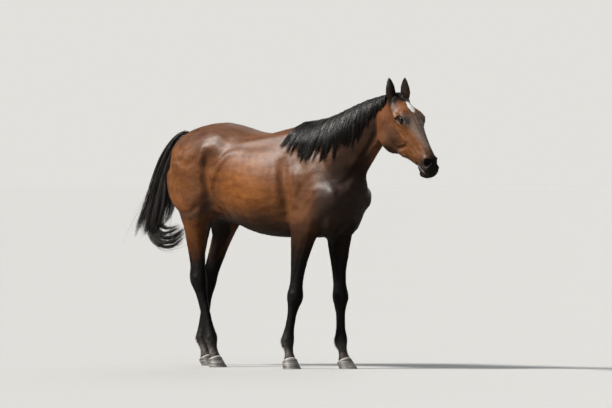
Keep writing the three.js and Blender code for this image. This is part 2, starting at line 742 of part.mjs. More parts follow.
// The space of one leg: a column below the body, with a slanted lid that rises outwards from the armpit or
// the groin.
function legSpace({ side, front, back, inner, outer, grow = 0 }) {
  const [length, middle] = [front - back, (front + back) / 2];
  const slope = Math.atan2(outer[1] - inner[1], outer[0] - inner[0]);
  const place = new THREE.Matrix4()
    .makeTranslation(middle, side * inner[0], inner[1])
    .multiply(new THREE.Matrix4().makeRotationX(side * slope));
  const lid = block({ size: [length, 440, 160], at: [0, side * 160, -80], place, grow });
  const column = block({ size: [length + 300, 400, 900], at: [middle, side * 202, inner[1] - 490], grow });
  return lid.add(column);
}

// Parts `whole` into what lies in the space and the rest.
function part(whole, space) {
  return [whole.intersect(space(0)), whole.subtract(space(GAP))];
}

// ---------------------------------------------------------------- assembly

// A loft that stands in a frame of its own, such as the head's.
class PlacedLoft {
  constructor(loft, matrix) {
    this.loft = loft;
    this.matrix = matrix;
    this.turn = new THREE.Matrix4().extractRotation(matrix);
  }

  at(t) {
    const s = this.loft.at(t);
    s.centre.applyMatrix4(this.matrix);
    for (const axis of [s.up, s.side, s.along]) axis.applyMatrix4(this.turn);
    return s;
  }
}

const legs = {
  fore_right: { ...FORE_RIGHT, ...foreLeg(FORE_RIGHT) },
  fore_left: { ...FORE_LEFT, ...foreLeg(FORE_LEFT) },
  hind_right: { ...HIND_RIGHT, ...hindLeg(HIND_RIGHT) },
  hind_left: { ...HIND_LEFT, ...hindLeg(HIND_LEFT) },
};
const body = new Clay().add(60, trunkClay, neckClay);
const headInPlace = new Placed(headClay, headFrame);

function fleshSolid() {
  const trunk = wrap(trunkLoft, body, { around: 26, along: 22, cap: 3, from: 0.02, to: 0.98 });
  const neck = wrap(neckLoft, new Clay().add(60, new Shrunk(trunkClay, 8), neckClay), {
    around: 18,
    along: 9,
    cap: 2,
    from: 0.06,
    to: 0.98,
  });
  const head = wrap(
    new PlacedLoft(headLoft, headFrame),
    new Clay().add(40, headInPlace, new Shrunk(neckClay, 5)),
    { around: 22, along: 24, cap: 2, from: 0.03, to: 0.97, spread: 1.5 },
  );
  const limbs = Object.values(legs).map(({ loft, clay }) =>
    wrap(loft, new Clay().add(34, new Shrunk(body, 8), clay), { around: 12, along: 26, cap: 1, spread: 1.5 }),
  );
  return join([trunk, neck, head, ...limbs]);
}

const FORE_SPACE = { reach: [150, -124], inner: [75, 838], outer: [250, 965] };
const HIND_SPACE = { reach: [75, -385], inner: [34, 926], outer: [262, 1100] };

const solids = {};
let flesh = fleshSolid();

for (const [name, leg] of Object.entries(legs)) {
  const fore = name.startsWith("fore");
  const { reach, inner, outer } = fore ? FORE_SPACE : HIND_SPACE;
  const x = (fore ? leg.elbow : leg.stifle)[0];
  const space = (grow) =>
    legSpace({ side: leg.side, front: x + reach[0], back: x + reach[1], inner, outer, grow });
  const [limb, rest] = part(flesh, space);
  solids["leg_" + name] = limb.subtract(underCoronet(leg));
  solids["hoof_" + name] = hoofSolid(leg);
  flesh = rest;
}

const neckLine = [[430, 1640], [858, 1235]];
const headLine = [[1098, 1830], [1034, 1440]];
let [front, trunk] = part(flesh, (grow) => beyond(...neckLine, grow));
let [head, neck] = part(front, (grow) => beyond(...headLine, grow));

// The tail's root meets the croup on an upright plane.
const dock = block({ size: [300, 120, 150], at: [DOCK - 150, 0, 1515], grow: GAP });
const insideCroup = block({ size: [400, 400, 400], at: [DOCK + 200 + GAP, 0, 1500] });
solids.tail = wrap(tailLoft, tailLoft, { around: 10, along: 22, cap: 2 }).subtract(insideCroup);
trunk = trunk.subtract(dock);

for (const [name, side] of Object.entries({ right: -1, left: 1 })) {
  const frame = earFrame(side, EAR_OPENING[name]);
  solids["ear_" + name] = earSolid(frame);
  solids["eye_" + name] = eyeSolid(side, EYE_RADIUS);
  head = head.subtract(earSocket(frame)).subtract(eyeSolid(side, EYE_RADIUS + GAP));
}
// Hair lies to the right of the crest and over the forehead, and clears the coat in that direction.
const aside = [0, -2 * GAP, GAP];
const ahead = [2 * GAP, 0, 2 * GAP];
let mane = maneSolid(new Clay().add(30, body, headInPlace));
for (const coat of [head, neck, trunk]) mane = mane.subtract(shifted(coat, aside));
const forelock = forelockSolid().subtract(shifted(head, ahead));
Object.assign(solids, { head, neck, trunk, mane, forelock });

const FINISHES = {
  hoof: [0x6f6560, 0.55],
  eye: [0x1a0f0a, 0.08],
  ear: [0x1b1512, 0.7],
  mane: [0x14110f, 0.5],
  forelock: [0x14110f, 0.5],
  tail: [0x14110f, 0.5],
  leg: [0x2a1710, 0.5],
  body: [0x5a2f1b, 0.42],
};

const horse = new THREE.Group();
for (const [name, solid] of Object.entries(solids)) {
  const [colour, roughness] = FINISHES[name.split("_")[0]] ?? FINISHES.body;
  const material = new THREE.MeshStandardMaterial({ color: colour, roughness, metalness: 0 });
  const mesh = new THREE.Mesh(geometryOf(solid), material);
  mesh.name = name;
  horse.add(mesh);
}

// The frame's origin is under the middle of the whole horse, on the ground.
const box = new THREE.Box3().setFromObject(horse);
horse.position.set(-(box.min.x + box.max.x) / 2, -(box.min.y + box.max.y) / 2, -box.min.z);

export default horse;
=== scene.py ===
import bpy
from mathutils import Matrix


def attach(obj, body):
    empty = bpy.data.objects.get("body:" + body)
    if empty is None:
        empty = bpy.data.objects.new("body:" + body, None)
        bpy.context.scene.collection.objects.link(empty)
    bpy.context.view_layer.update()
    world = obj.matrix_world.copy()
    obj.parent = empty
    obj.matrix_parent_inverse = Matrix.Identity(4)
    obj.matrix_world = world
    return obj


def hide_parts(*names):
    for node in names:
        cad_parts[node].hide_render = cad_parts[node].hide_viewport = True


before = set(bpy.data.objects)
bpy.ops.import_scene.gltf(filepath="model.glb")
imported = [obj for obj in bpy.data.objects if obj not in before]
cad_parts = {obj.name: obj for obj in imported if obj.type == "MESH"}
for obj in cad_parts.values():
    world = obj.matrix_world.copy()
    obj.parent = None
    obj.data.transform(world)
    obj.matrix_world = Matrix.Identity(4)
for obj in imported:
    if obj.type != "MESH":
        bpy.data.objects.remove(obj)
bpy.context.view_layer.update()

import logging
import math
from dataclasses import dataclass, field
from enum import Enum

import bmesh
import bpy
import numpy as np
from mathutils import Matrix, Vector
from mathutils.bvhtree import BVHTree

log = logging.getLogger("horse")

ROOT = "root"
MID_TRUNK = 0.22941  # the middle of the trunk lies this far behind the frame's origin
SIDES = (-1, 1)  # right, left
SEED = 1600

FLESH = (
    "head", "neck", "trunk",
    "leg_fore_right", "leg_fore_left", "leg_hind_right", "leg_hind_left",
)
EYES = {"eye_right": -1, "eye_left": 1}
MARKS = ("black", "star", "dust", "shade", "hang")
EAR_HAIR = {"black": 0.35, "star": 0.0, "dust": 0.35, "shade": 0.3, "hang": 0.0}


# ------------------------------------------------------------------ places


def from_mid(points) -> np.ndarray:
    """Points measured from mid-trunk, in the frame.

    Args:
        points: One point or an array of them.

    Returns:
        The same points, measured from the frame's origin.
    """
    return np.asarray(points, float) - np.array((MID_TRUNK, 0.0, 0.0))


def to_mid(points: np.ndarray) -> np.ndarray:
    """Points of the frame, measured from mid-trunk."""
    return points + np.array((MID_TRUNK, 0.0, 0.0))


def smoothstep(low: float, high: float, values) -> np.ndarray:
    """A soft step from 0 at low to 1 at high."""
    t = np.clip((np.asarray(values, float) - low) / (high - low), 0, 1)
    return t * t * (3 - 2 * t)


def unit(vectors: np.ndarray) -> np.ndarray:
    """The same vectors at a length of one."""
    length = np.linalg.norm(vectors, axis=-1, keepdims=True)
    return vectors / np.maximum(length, 1e-9)


def near_path(points: np.ndarray, path: np.ndarray) -> tuple[np.ndarray, np.ndarray]:
    """How near each point is to a path of straight runs.

    Args:
        points: The points, in as many coordinates as the path has.
        path: The path's own points, one or more.

    Returns:
        Each point's distance, and the share of the path at which it is nearest.
    """
    if len(path) == 1:
        return np.linalg.norm(points - path[0], axis=1), np.full(len(points), 0.5)
    best = np.full(len(points), np.inf)
    share = np.zeros(len(points))
    for i in range(len(path) - 1):
        run = path[i + 1] - path[i]
        t = np.clip((points - path[i]) @ run / max(run @ run, 1e-12), 0, 1)
        distance = np.linalg.norm(points - path[i] - t[:, None] * run, axis=1)
        closer = distance < best
        best[closer] = distance[closer]
        share[closer] = (i + t[closer]) / (len(path) - 1)
    return best, share


@dataclass(frozen=True)
class HeadFrame:
    """The head's own axes: from the poll to the lips, to the horse's left, and out of the face."""

    poll: tuple = (1.190, -0.060, 1.786)
    yaw: float = math.radians(-6.5)
    pitch: float = math.radians(48)

    @property
    def axes(self) -> np.ndarray:
        """The three axes, one in each column."""
        turn = Matrix.Rotation(self.yaw, 3, "Z") @ Matrix.Rotation(self.pitch, 3, "Y")
        return np.array(turn)

    @property
    def origin(self) -> np.ndarray:
        """The poll in the frame."""
        return from_mid(self.poll)

    def local(self, points: np.ndarray) -> np.ndarray:
        """Points of the frame in the head's axes."""
        return (points - self.origin) @ self.axes

    def world(self, points) -> np.ndarray:
        """Points of the head's axes in the frame."""
        return np.asarray(points, float) @ self.axes.T + self.origin


HEAD = HeadFrame()


@dataclass(frozen=True)
class Leg:
    """Where one leg's joints are, measured from mid-trunk."""

    name: str
    side: int
    joints: tuple
    hoof: tuple
    turn: float

    @property
    def fore(self) -> bool:
        """Whether it is a foreleg."""
        return self.name.startswith("fore")

    @property
    def line(self) -> np.ndarray:
        """The joints in the frame, from top to bottom."""
        return from_mid(self.joints)

    @property
    def hoof_matrix(self) -> Matrix:
        """The hoof's own axes: forward, left and up from its middle on the ground."""
        place = from_mid((*self.hoof, 0.0))
        return Matrix.Translation(place) @ Matrix.Rotation(math.radians(self.turn), 4, "Z")


LEGS = (
    Leg("fore_right", -1, ((0.452, -0.150, 0.925), (0.376, -0.142, 0.470), (0.310, -0.140, 0.186)),
        (0.352, -0.148), -22),
    Leg("fore_left", 1, ((0.488, 0.148, 0.925), (0.524, 0.136, 0.468), (0.536, 0.128, 0.186)),
        (0.598, 0.126), 0),
    Leg("hind_right", -1, ((-0.415, -0.172, 1.015), (-0.468, -0.150, 0.580), (-0.368, -0.140, 0.190)),
        (-0.306, -0.142), -8),
    Leg("hind_left", 1, ((-0.412, 0.170, 0.985), (-0.655, 0.150, 0.566), (-0.698, 0.138, 0.188)),
        (-0.628, 0.134), 4),
)


# ------------------------------------------------------------------ surfaces under the hand


class Surface:
    """A mesh whose points are held as an array, to be smoothed and pushed about."""

    def __init__(self, mesh: bpy.types.Mesh) -> None:
        """Reads the mesh's points and edges."""
        self.mesh = mesh
        count = len(mesh.vertices)
        self.co = np.empty(count * 3, np.float32)
        mesh.vertices.foreach_get("co", self.co)
        self.co = self.co.reshape(-1, 3).astype(float)
        self.edges = np.empty(len(mesh.edges) * 2, np.int32)
        mesh.edges.foreach_get("vertices", self.edges)
        self.edges = self.edges.reshape(-1, 2)
        self.degree = np.maximum(np.bincount(self.edges.ravel(), minlength=count), 1)

    def write(self) -> None:
        """Puts the points back in the mesh."""
        self.mesh.vertices.foreach_set("co", self.co.astype(np.float32).ravel())
        self.mesh.update()

    def normals(self) -> np.ndarray:
        """The outward direction at each point."""
        self.write()
        out = np.empty(len(self.co) * 3, np.float32)
        self.mesh.vertex_normals.foreach_get("vector", out)
        return out.reshape(-1, 3).astype(float)

    def spread(self, values: np.ndarray) -> np.ndarray:
        """The mean of each point's neighbours.

        Args:
            values: One row for each point.

        Returns:
            The means, in the same shape.
        """
        a, b = self.edges.T
        total = np.empty_like(values)
        for axis in range(values.shape[1]):
            column = values[:, axis]
            total[:, axis] = np.bincount(a, column[b], len(values)) + np.bincount(b, column[a], len(values))
        return total / self.degree[:, None]

    def smooth(self, rounds: int, share: np.ndarray, swell: float = 1.02) -> None:
        """Smooths without shrinking much.

        Args:
            rounds: How many pairs of passes.
            share: How far each point moves towards its neighbours' mean.
            swell: How much stronger the outward pass is than the inward one.
        """
        for _ in range(rounds):
            for factor in (share, -swell * share):
                self.co += factor[:, None] * (self.spread(self.co) - self.co)


class View(Enum):
    """The plane that a stroke is drawn in, as the two coordinates it reads."""

    SIDE = (0, 2)
    TOP = (0, 1)
    ROUND = (0, 1, 2)


@dataclass(frozen=True)
class Stroke:
    """One ridge or groove, the same on both sides. Lengths are in metres."""

    path: tuple
    radius: float
    height: float
    view: View = View.SIDE
    all_round: bool = False  # whether it also swells what doesn't face the side

    def amount(self, local: np.ndarray) -> np.ndarray:
        """How far each point goes outwards.

        Args:
            local: The points in the stroke's own axes, mirrored to the side it is drawn on.

        Returns:
            The heights.
        """
        path = np.array(self.path, float)
        distance, share = near_path(local[:, list(self.view.value)], path)
        bell = np.clip(1 - (distance / self.radius) ** 2, 0, None) ** 2
        ends = 1 - (2 * share - 1) ** 4 if len(path) > 1 else 1
        return self.height * bell * ends


MOUTH = ((0.478, -0.141), (0.520, -0.134), (0.560, -0.123), (0.602, -0.117))  # corner to front

NECK_RIDGE = ((0.790, 1.160), (0.880, 1.270), (0.965, 1.380), (1.055, 1.490), (1.110, 1.580))

HEAD_STROKES = (
    Stroke(((0.215, -0.098), (0.335, -0.104)), 0.017, 0.0070),  # facial crest
    Stroke(((0.345, -0.118), (0.325, -0.160), (0.290, -0.215)), 0.022, -0.0085),  # front of the cheek muscle
    Stroke(((0.195, -0.170),), 0.085, 0.0050),  # cheek muscle
    Stroke(((0.205, -0.268),), 0.105, 0.0300, all_round=True),  # corner of the jaw
    Stroke(((0.060, -0.070), (0.100, -0.180), (0.175, -0.255)), 0.022, 0.0035),  # rear edge of the jaw
    Stroke(((0.290, -0.060), (0.380, -0.068), (0.470, -0.066)), 0.020, -0.0035),  # hollow beside the nose bone
    Stroke(((0.250, -0.035), (0.380, -0.035), (0.500, -0.040)), 0.011, 0.0020),  # muscle that lifts the lip
    Stroke(((0.070, -0.030), (0.120, -0.048), (0.165, -0.050)), 0.015, 0.0045),  # cheekbone
    Stroke(((0.132, -0.012),), 0.045, -0.0030),  # hollow over the eye
    Stroke(((0.178, 0.002), (0.215, 0.010), (0.248, -0.004)), 0.014, 0.0050),  # brow
    Stroke(((0.170, -0.075), (0.210, -0.082), (0.250, -0.062)), 0.010, -0.0030),  # fold under the eye
    Stroke(((0.352, -0.110), (0.410, -0.116), (0.465, -0.120)), 0.024, 0.0060),  # cheek's own muscle
    Stroke(((0.340, -0.180), (0.420, -0.170), (0.490, -0.162)), 0.014, -0.0035),  # groove over the jaw bar
    Stroke(((0.340, -0.200), (0.420, -0.188), (0.500, -0.176)), 0.013, 0.0025),  # jaw bar
    Stroke(((0.485, -0.118), (0.560, -0.104), (0.595, -0.100)), 0.017, 0.0040),  # upper lip
    Stroke(((0.490, -0.158), (0.560, -0.143)), 0.016, 0.0045),  # lower lip
    Stroke(((0.550, -0.172),), 0.024, 0.0060),  # chin
    Stroke(((0.515, -0.172), (0.500, -0.160)), 0.012, -0.0030),  # between lip and chin
    Stroke(((0.262, -0.066), (0.300, -0.090), (0.330, -0.128), (0.345, -0.150)), 0.0055, 0.0018),  # face vein
    Stroke(((0.020, -0.075), (0.030, -0.150), (0.065, -0.240)), 0.022, -0.0055),  # groove behind the jaw
    Stroke(((0.150, 0.018), (0.260, 0.016), (0.420, 0.006)), 0.012, -0.0018, View.TOP, all_round=True),
)

BODY_STROKES = (
    Stroke(((0.405, 1.500), (0.500, 1.360), (0.610, 1.210)), 0.060, 0.0060),  # spine of the shoulder blade
    Stroke(((0.530, 1.480), (0.640, 1.330), (0.715, 1.215)), 0.034, -0.0065),  # before the shoulder blade
    Stroke(((0.315, 1.380), (0.345, 1.250), (0.372, 1.120), (0.372, 0.910)), 0.052, -0.0180),  # behind it
    Stroke(((0.430, 1.330), (0.450, 1.180), (0.440, 1.040)), 0.045, 0.0080),  # the muscle before that hollow
    Stroke(((0.300, 1.330), (0.310, 1.180), (0.300, 1.020)), 0.040, 0.0045),  # the first ribs
    Stroke(((0.585, 1.290), (0.500, 1.190), (0.430, 1.090)), 0.030, -0.0035),  # between the upper arm muscles
    Stroke(((0.640, 1.170), (0.560, 1.080), (0.490, 1.000)), 0.026, -0.0040),
    Stroke(((0.735, 1.150),), 0.050, 0.0080),  # point of the shoulder
    Stroke(((0.690, 1.250), (0.745, 1.190), (0.770, 1.120)), 0.022, -0.0075),
    Stroke(((0.330, 1.020), (0.350, 0.890)), 0.045, -0.0070),  # girth
    Stroke(((-0.270, 1.340),), 0.090, -0.0080),  # hollow of the flank
    Stroke(((-0.020, 1.420), (-0.136, 1.395), (-0.195, 1.320), (-0.245, 1.250), (-0.280, 1.175),
            (-0.283, 1.110), (-0.250, 1.040), (-0.190, 0.990)), 0.036, 0.0120),  # the last ribs
    Stroke(((-0.285, 1.440), (-0.322, 1.310), (-0.322, 1.210), (-0.310, 1.120),
            (-0.280, 1.050), (-0.210, 0.990)), 0.038, -0.0175),  # fold of the flank
    Stroke(((-0.330, 1.480), (-0.368, 1.340), (-0.376, 1.210), (-0.366, 1.080)), 0.046, 0.0095),  # front of the thigh
    Stroke(((-0.325, 1.430),), 0.080, 0.0045),  # point of the hip
    Stroke(((-0.360, 1.380), (-0.480, 1.330), (-0.600, 1.370)), 0.035, -0.0050),
    Stroke(((-0.610, 1.500), (-0.665, 1.330), (-0.640, 1.150), (-0.580, 0.980)), 0.024, -0.0090),
    Stroke(((-0.520, 1.440), (-0.560, 1.260), (-0.520, 1.060), (-0.490, 0.930)), 0.022, -0.0060),
    Stroke(((-0.400, 1.060), (-0.470, 1.010), (-0.560, 1.010)), 0.024, -0.0060),  # above the stifle
    Stroke(((0.740, 1.170), (0.830, 1.280), (0.915, 1.390), (1.005, 1.500), (1.070, 1.590)), 0.030, -0.0120),
    Stroke(NECK_RIDGE, 0.026, 0.0110),
    Stroke(((0.640, 1.480), (0.800, 1.560), (0.980, 1.640)), 0.040, 0.0040),
    Stroke(((0.330, 0.960), (0.150, 0.945), (-0.080, 0.950)), 0.007, 0.0020),  # vein under the chest
)


@dataclass
class Eye:
    """An eye's place in the head and its opening between the lids."""

    place: tuple = (0.206, 0.083, -0.024)
    radius: float = 0.021
    slant: float = math.radians(36)
    half_length: float = 0.0235
    upper: float = 0.0150
    lower: float = 0.0115

    def beyond(self, local: np.ndarray) -> np.ndarray:
        """How far outside the opening each point lies, seen from the side; negative is inside."""
        u, v = self.across(local)
        tall = np.where(v > 0, self.upper, self.lower)
        power = 1.7
        ring = (np.abs(u / self.half_length) ** power + np.abs(v / tall) ** power) ** (1 / power)
        return (ring - 1) * tall

    def across(self, local: np.ndarray) -> tuple[np.ndarray, np.ndarray]:
        """The points' coordinates along and across the opening."""
        da, dc = local[:, 0] - self.place[0], local[:, 2] - self.place[2]
        c, s = math.cos(self.slant), math.sin(self.slant)
        return da * c + dc * s, dc * c - da * s

    def ball(self, local: np.ndarray) -> np.ndarray:
        """How far to the side the eyeball reaches at each point."""
        da, dc = local[:, 0] - self.place[0], local[:, 2] - self.place[2]
        return self.place[1] + np.sqrt(np.clip(self.radius**2 - da**2 - dc**2, 0, None))

    def shape(self, local: np.ndarray) -> np.ndarray:
        """The sideways place of the lids and the socket.

        Args:
            local: Points in the head's axes, mirrored to the left side.

        Returns:
            Each point's new coordinate to the side.
        """
        out = self.beyond(local)
        u, v = self.across(local)
        near = (np.hypot(u, v) < 0.052) & (local[:, 1] > 0.03)
        ball = self.ball(local)
        inside = ball - 0.0075
        rim = ball + 0.0012 + 0.0026 * smoothstep(0, 0.004, out)
        lid = np.where(out < 0, inside + (rim - inside) * smoothstep(-0.0018, 0.0002, out), rim)
        lid_share = 1 - smoothstep(0.003, 0.017, out)
        side = local[:, 1] * (1 - lid_share) + lid * lid_share
        crease = np.where(v > 0, 0.0105, 0.0080)
        side -= 0.0028 * np.exp(-(((out - crease) / 0.0024) ** 2))
        side += 0.0016 * np.exp(-(((out - crease - 0.005) / 0.003) ** 2)) * (v > 0)
        side -= 0.0012 * np.exp(-(((out - crease - 0.010) / 0.0022) ** 2)) * (v > 0)
        return np.where(near, side, local[:, 1])


@dataclass
class Nostril:
    """The opening at the nose."""

    place: tuple = (0.549, -0.056)
    slant: float = math.radians(-38)
    half_length: float = 0.0275
    half_width: float = 0.0190
    depth: float = 0.026

    def push(self, local: np.ndarray) -> np.ndarray:
        """How each point moves, in the head's axes."""
        da, dc = local[:, 0] - self.place[0], local[:, 2] - self.place[1]
        c, s = math.cos(self.slant), math.sin(self.slant)
        u, v = da * c + dc * s, dc * c - da * s
        v = v + 6.0 * u * u
        ring = np.hypot(u / self.half_length, v / self.half_width)
        out = (ring - 1) * self.half_width
        on_side = smoothstep(0.008, 0.022, local[:, 1])
        well = (1 - smoothstep(-0.0065, 0.0015, out)) * on_side
        rim = np.exp(-(((out - 0.0045) / 0.0042) ** 2)) * on_side
        move = np.zeros_like(local)
        move[:, 1] = -self.depth * well + 0.0042 * rim
        move[:, 0] = -0.30 * self.depth * well + 0.0010 * rim
        return move


    def inside(self, local: np.ndarray) -> np.ndarray:
        """How far each point lies in the opening, from 0 to 1, seen from the side."""
        wide = self.half_length * 1.05
        return 1 - smoothstep(0.75, 1.0, np.hypot(local[:, 0] - self.place[0], local[:, 2] - self.place[1]) / wide)


@dataclass
class Skin:
    """One skin over head, neck, trunk and legs, with the ears' shells."""

    voxel: float = 0.0133
    inset: float = 0.0022
    fine_head: int = 2
    surface: Surface | None = None
    tree: BVHTree | None = None
    marks: dict = field(default_factory=dict)

    def build(self) -> bpy.types.Object:
        """Makes the skin.

        Returns:
            Its object, which stands for the nodes of flesh.
        """
        mesh = self.remesh()
        self.surface = Surface(mesh)
        self.even_out()
        mesh = self.refine(mesh)
        self.surface = Surface(mesh)
        self.sculpt()
        self.surface.write()
        mesh.shade_smooth()
        self.tree = BVHTree.FromPolygons(
            [tuple(p) for p in self.surface.co], [tuple(p.vertices) for p in mesh.polygons]
        )
        skin = bpy.data.objects.new("skin", mesh)
        bpy.context.scene.collection.objects.link(skin)
        return skin

    def remesh(self) -> bpy.types.Mesh:
        """Fuses copies of the nodes of flesh into one even mesh."""
        bm = bmesh.new()
        for name in (*FLESH, *EYES):
            bm.from_mesh(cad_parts[name].data)
        bmesh.ops.remove_doubles(bm, verts=bm.verts, dist=1e-6)
        rough = bpy.data.meshes.new("rough")
        bm.to_mesh(rough)
        bm.free()
        holder = bpy.data.objects.new("rough", rough)
        bpy.context.scene.collection.objects.link(holder)
        fuse = holder.modifiers.new("fuse", "REMESH")
        fuse.mode = "VOXEL"
        fuse.voxel_size = self.voxel
        graph = bpy.context.evaluated_depsgraph_get()
        mesh = bpy.data.meshes.new_from_object(holder.evaluated_get(graph))
        mesh.name = "skin"
        bpy.data.objects.remove(holder)
        bpy.data.meshes.remove(rough)
        return mesh

    @staticmethod
    def regions(points: np.ndarray) -> tuple[np.ndarray, np.ndarray]:
        """How far each point belongs to the head and to a lower leg, from 0 to 1."""
        p = to_mid(points)
        ahead = p[:, 0] - (1.034 + (p[:, 2] - 1.44) * 0.164)
        head = smoothstep(-0.03, 0.02, ahead) * (p[:, 2] > 1.2)
        leg = 1 - smoothstep(0.80, 0.95, p[:, 2])
        return head, leg

    def even_out(self) -> None:
        """Smooths the facets away, most on the trunk and least on the head and feet."""
        head, leg = self.regions(self.surface.co)
        body = (1 - head) * (1 - leg)
        self.surface.smooth(4, np.full(len(head), 0.5))
        self.surface.smooth(4, 0.5 * (1 - head * 0.6))
        self.surface.smooth(26, 0.5 * body)
        self.surface.co -= self.inset * self.surface.normals()

    def refine(self, mesh: bpy.types.Mesh) -> bpy.types.Mesh:
        """Makes the mesh finer on the head and the legs, and finest at the eyes, nose and mouth."""
        self.surface.write()
        bm = bmesh.new()
        bm.from_mesh(mesh)
        self.split(bm, lambda head, leg, local: head > 0.5, self.fine_head)
        self.split(bm, lambda head, leg, local: leg > 0.99, 1)
        self.split(bm, self.near_features, 1)
        bm.to_mesh(mesh)
        bm.free()
        return mesh

    @staticmethod
    def near_features(head: np.ndarray, leg: np.ndarray, local: np.ndarray) -> np.ndarray:
        """Which points lie near an eye, a nostril or the mouth."""
        spots = (((0.206, -0.024), 0.042), ((0.552, -0.060), 0.040))
        near = np.zeros(len(local), bool)
        for place, radius in spots:
            near |= np.hypot(local[:, 0] - place[0], local[:, 2] - place[1]) < radius
        mouth, _ = near_path(local[:, [0, 2]], np.array(MOUTH))
        near |= mouth < 0.010
        return near & (head > 0.5) & (np.abs(local[:, 1]) > 0.012)

    def split(self, bm: bmesh.types.BMesh, choose, cuts: int) -> None:
        """Subdivides the faces that a rule picks.

        Args:
            bm: The mesh.
            choose: A rule on each point's head share, leg share and place in the head's axes.
            cuts: How many cuts each of their edges gets.
        """
        points = np.array([v.co[:] for v in bm.verts])
        head, leg = self.regions(points)
        chosen = choose(head, leg, HEAD.local(points))
        edges = [e for e in bm.edges if chosen[e.verts[0].index] and chosen[e.verts[1].index]]
        bmesh.ops.subdivide_edges(bm, edges=edges, cuts=cuts, use_grid_fill=True)
        bm.verts.index_update()

    def sculpt(self) -> None:
        """Puts in the muscles, bones, folds and openings."""
        surface = self.surface
        head, leg = self.regions(surface.co)
        surface.smooth(5, 0.5 * np.maximum(head, leg))
        self.stroke_body()
        self.stroke_legs()
        self.stroke_head(head)

    def stroke_body(self) -> None:
        """Shapes the trunk and neck."""
        surface = self.surface
        normals = surface.normals()
        local = to_mid(surface.co)
        head, _ = self.regions(surface.co)
        for side in SIDES:
            mirrored = local * np.array((1, side, 1))
            facing = np.clip(normals[:, 1] * side, 0, 1) ** 0.7 * smoothstep(0.0, 0.04, mirrored[:, 1])
            amount = sum(stroke.amount(mirrored) for stroke in BODY_STROKES)
            surface.co += normals * (amount * facing * (1 - head))[:, None]
        ribs = np.sin((local[:, 0] + 0.25 * (local[:, 2] - 1.2)) * 2 * math.pi / 0.056)
        band = smoothstep(-0.12, 0.0, local[:, 0]) * (1 - smoothstep(0.22, 0.34, local[:, 0]))
        tall = smoothstep(0.98, 1.06, local[:, 2]) * (1 - smoothstep(1.34, 1.46, local[:, 2]))
        surface.co += normals * (0.0003 * ribs * band * tall)[:, None]

    def stroke_legs(self) -> None:
        """Shapes the joints, tendons and hollows of the legs."""
        surface = self.surface
        normals = surface.normals()
        for leg in LEGS:
            for path, radius, height in self.leg_swells(leg):
                distance, _ = near_path(surface.co, path)
                surface.co += normals * (height * np.clip(1 - (distance / radius) ** 2, 0, None) ** 2)[:, None]
            for across in (-1, 1):
                facing = np.clip(normals[:, 1] * across, 0, 1)
                for path, radius, height in self.leg_paths(leg, across):
                    distance, share = near_path(surface.co, path)
                    bell = np.clip(1 - (distance / radius) ** 2, 0, None) ** 2
                    surface.co += normals * (height * bell * facing)[:, None]

    @staticmethod
    def leg_swells(leg: Leg) -> list[tuple[np.ndarray, float, float]]:
        """Where one leg is thickened all round: its knee or hock, cannon and fetlock."""
        _, middle, ankle = leg.line
        joint = middle + ((0, 0, -0.01) if leg.fore else (-0.02, 0, 0.01))
        return [
            (joint[None], 0.120, 0.0095),
            (np.array((middle, ankle)), 0.070, 0.0032),
            (ankle[None], 0.075, 0.0050),
        ]

    @staticmethod
    def leg_paths(leg: Leg, across: int) -> list[tuple[np.ndarray, float, float]]:
        """The paths of one side of one leg: each with its radius and height."""
        top, middle, ankle = leg.line
        y = across * 0.026
        back = -0.012 if leg.fore else -0.012
        start = middle + (ankle - middle) * 0.22
        end = middle + (ankle - middle) * 0.84
        groove = np.array((start + (back, y, 0), end + (back, y, 0)))
        tendon = np.array((start + (back - 0.017, y * 0.8, 0), end + (back - 0.017, y * 0.8, 0)))
        paths = [(groove, 0.017, -0.0050), (tendon, 0.014, 0.0022)]
        if leg.fore:
            paths += [
                (np.array((middle + (0.010, y * 1.5, 0.020),)), 0.026, 0.0040),
                (np.array((middle + (0.008, y * 1.5, -0.028),)), 0.024, 0.0030),
                (np.array((middle + (-0.024, y * 1.3, 0.030), middle + (-0.020, y * 1.3, -0.03))), 0.013, -0.0030),
                (np.array((top + (-0.02, y * 2.0, -0.10), middle + (-0.020, y * 1.4, 0.09))), 0.024, -0.0045),
                (np.array((top + (0.05, y * 2.0, -0.08), middle + (0.012, y * 1.4, 0.10))), 0.020, -0.0025),
            ]
        else:
            heel = middle + np.array((-0.055, y * 0.6, 0.030))
            paths += [
                (np.array((top * 0.35 + middle * 0.65 + (-0.055, y * 1.6, 0.0), heel + (0.024, 0, 0.030))),
                 0.022, -0.0070),
                (np.array((middle + (0.008, y * 1.6, 0.010),)), 0.028, 0.0040),
                (np.array((middle + (-0.022, y * 1.5, -0.005), middle + (-0.026, y * 1.4, 0.045))), 0.015, -0.0040),
            ]
        paths += [
            (np.array((ankle + (-0.026, y * 1.2, 0.002),)), 0.020, 0.0035),
            (np.array((ankle + (0.006, y * 1.4, 0.004),)), 0.022, 0.0030),
            (np.array((ankle + (-0.008, y * 1.2, -0.045), ankle + (0.010, y * 1.2, -0.08))), 0.018, -0.0025),
        ]
        return paths

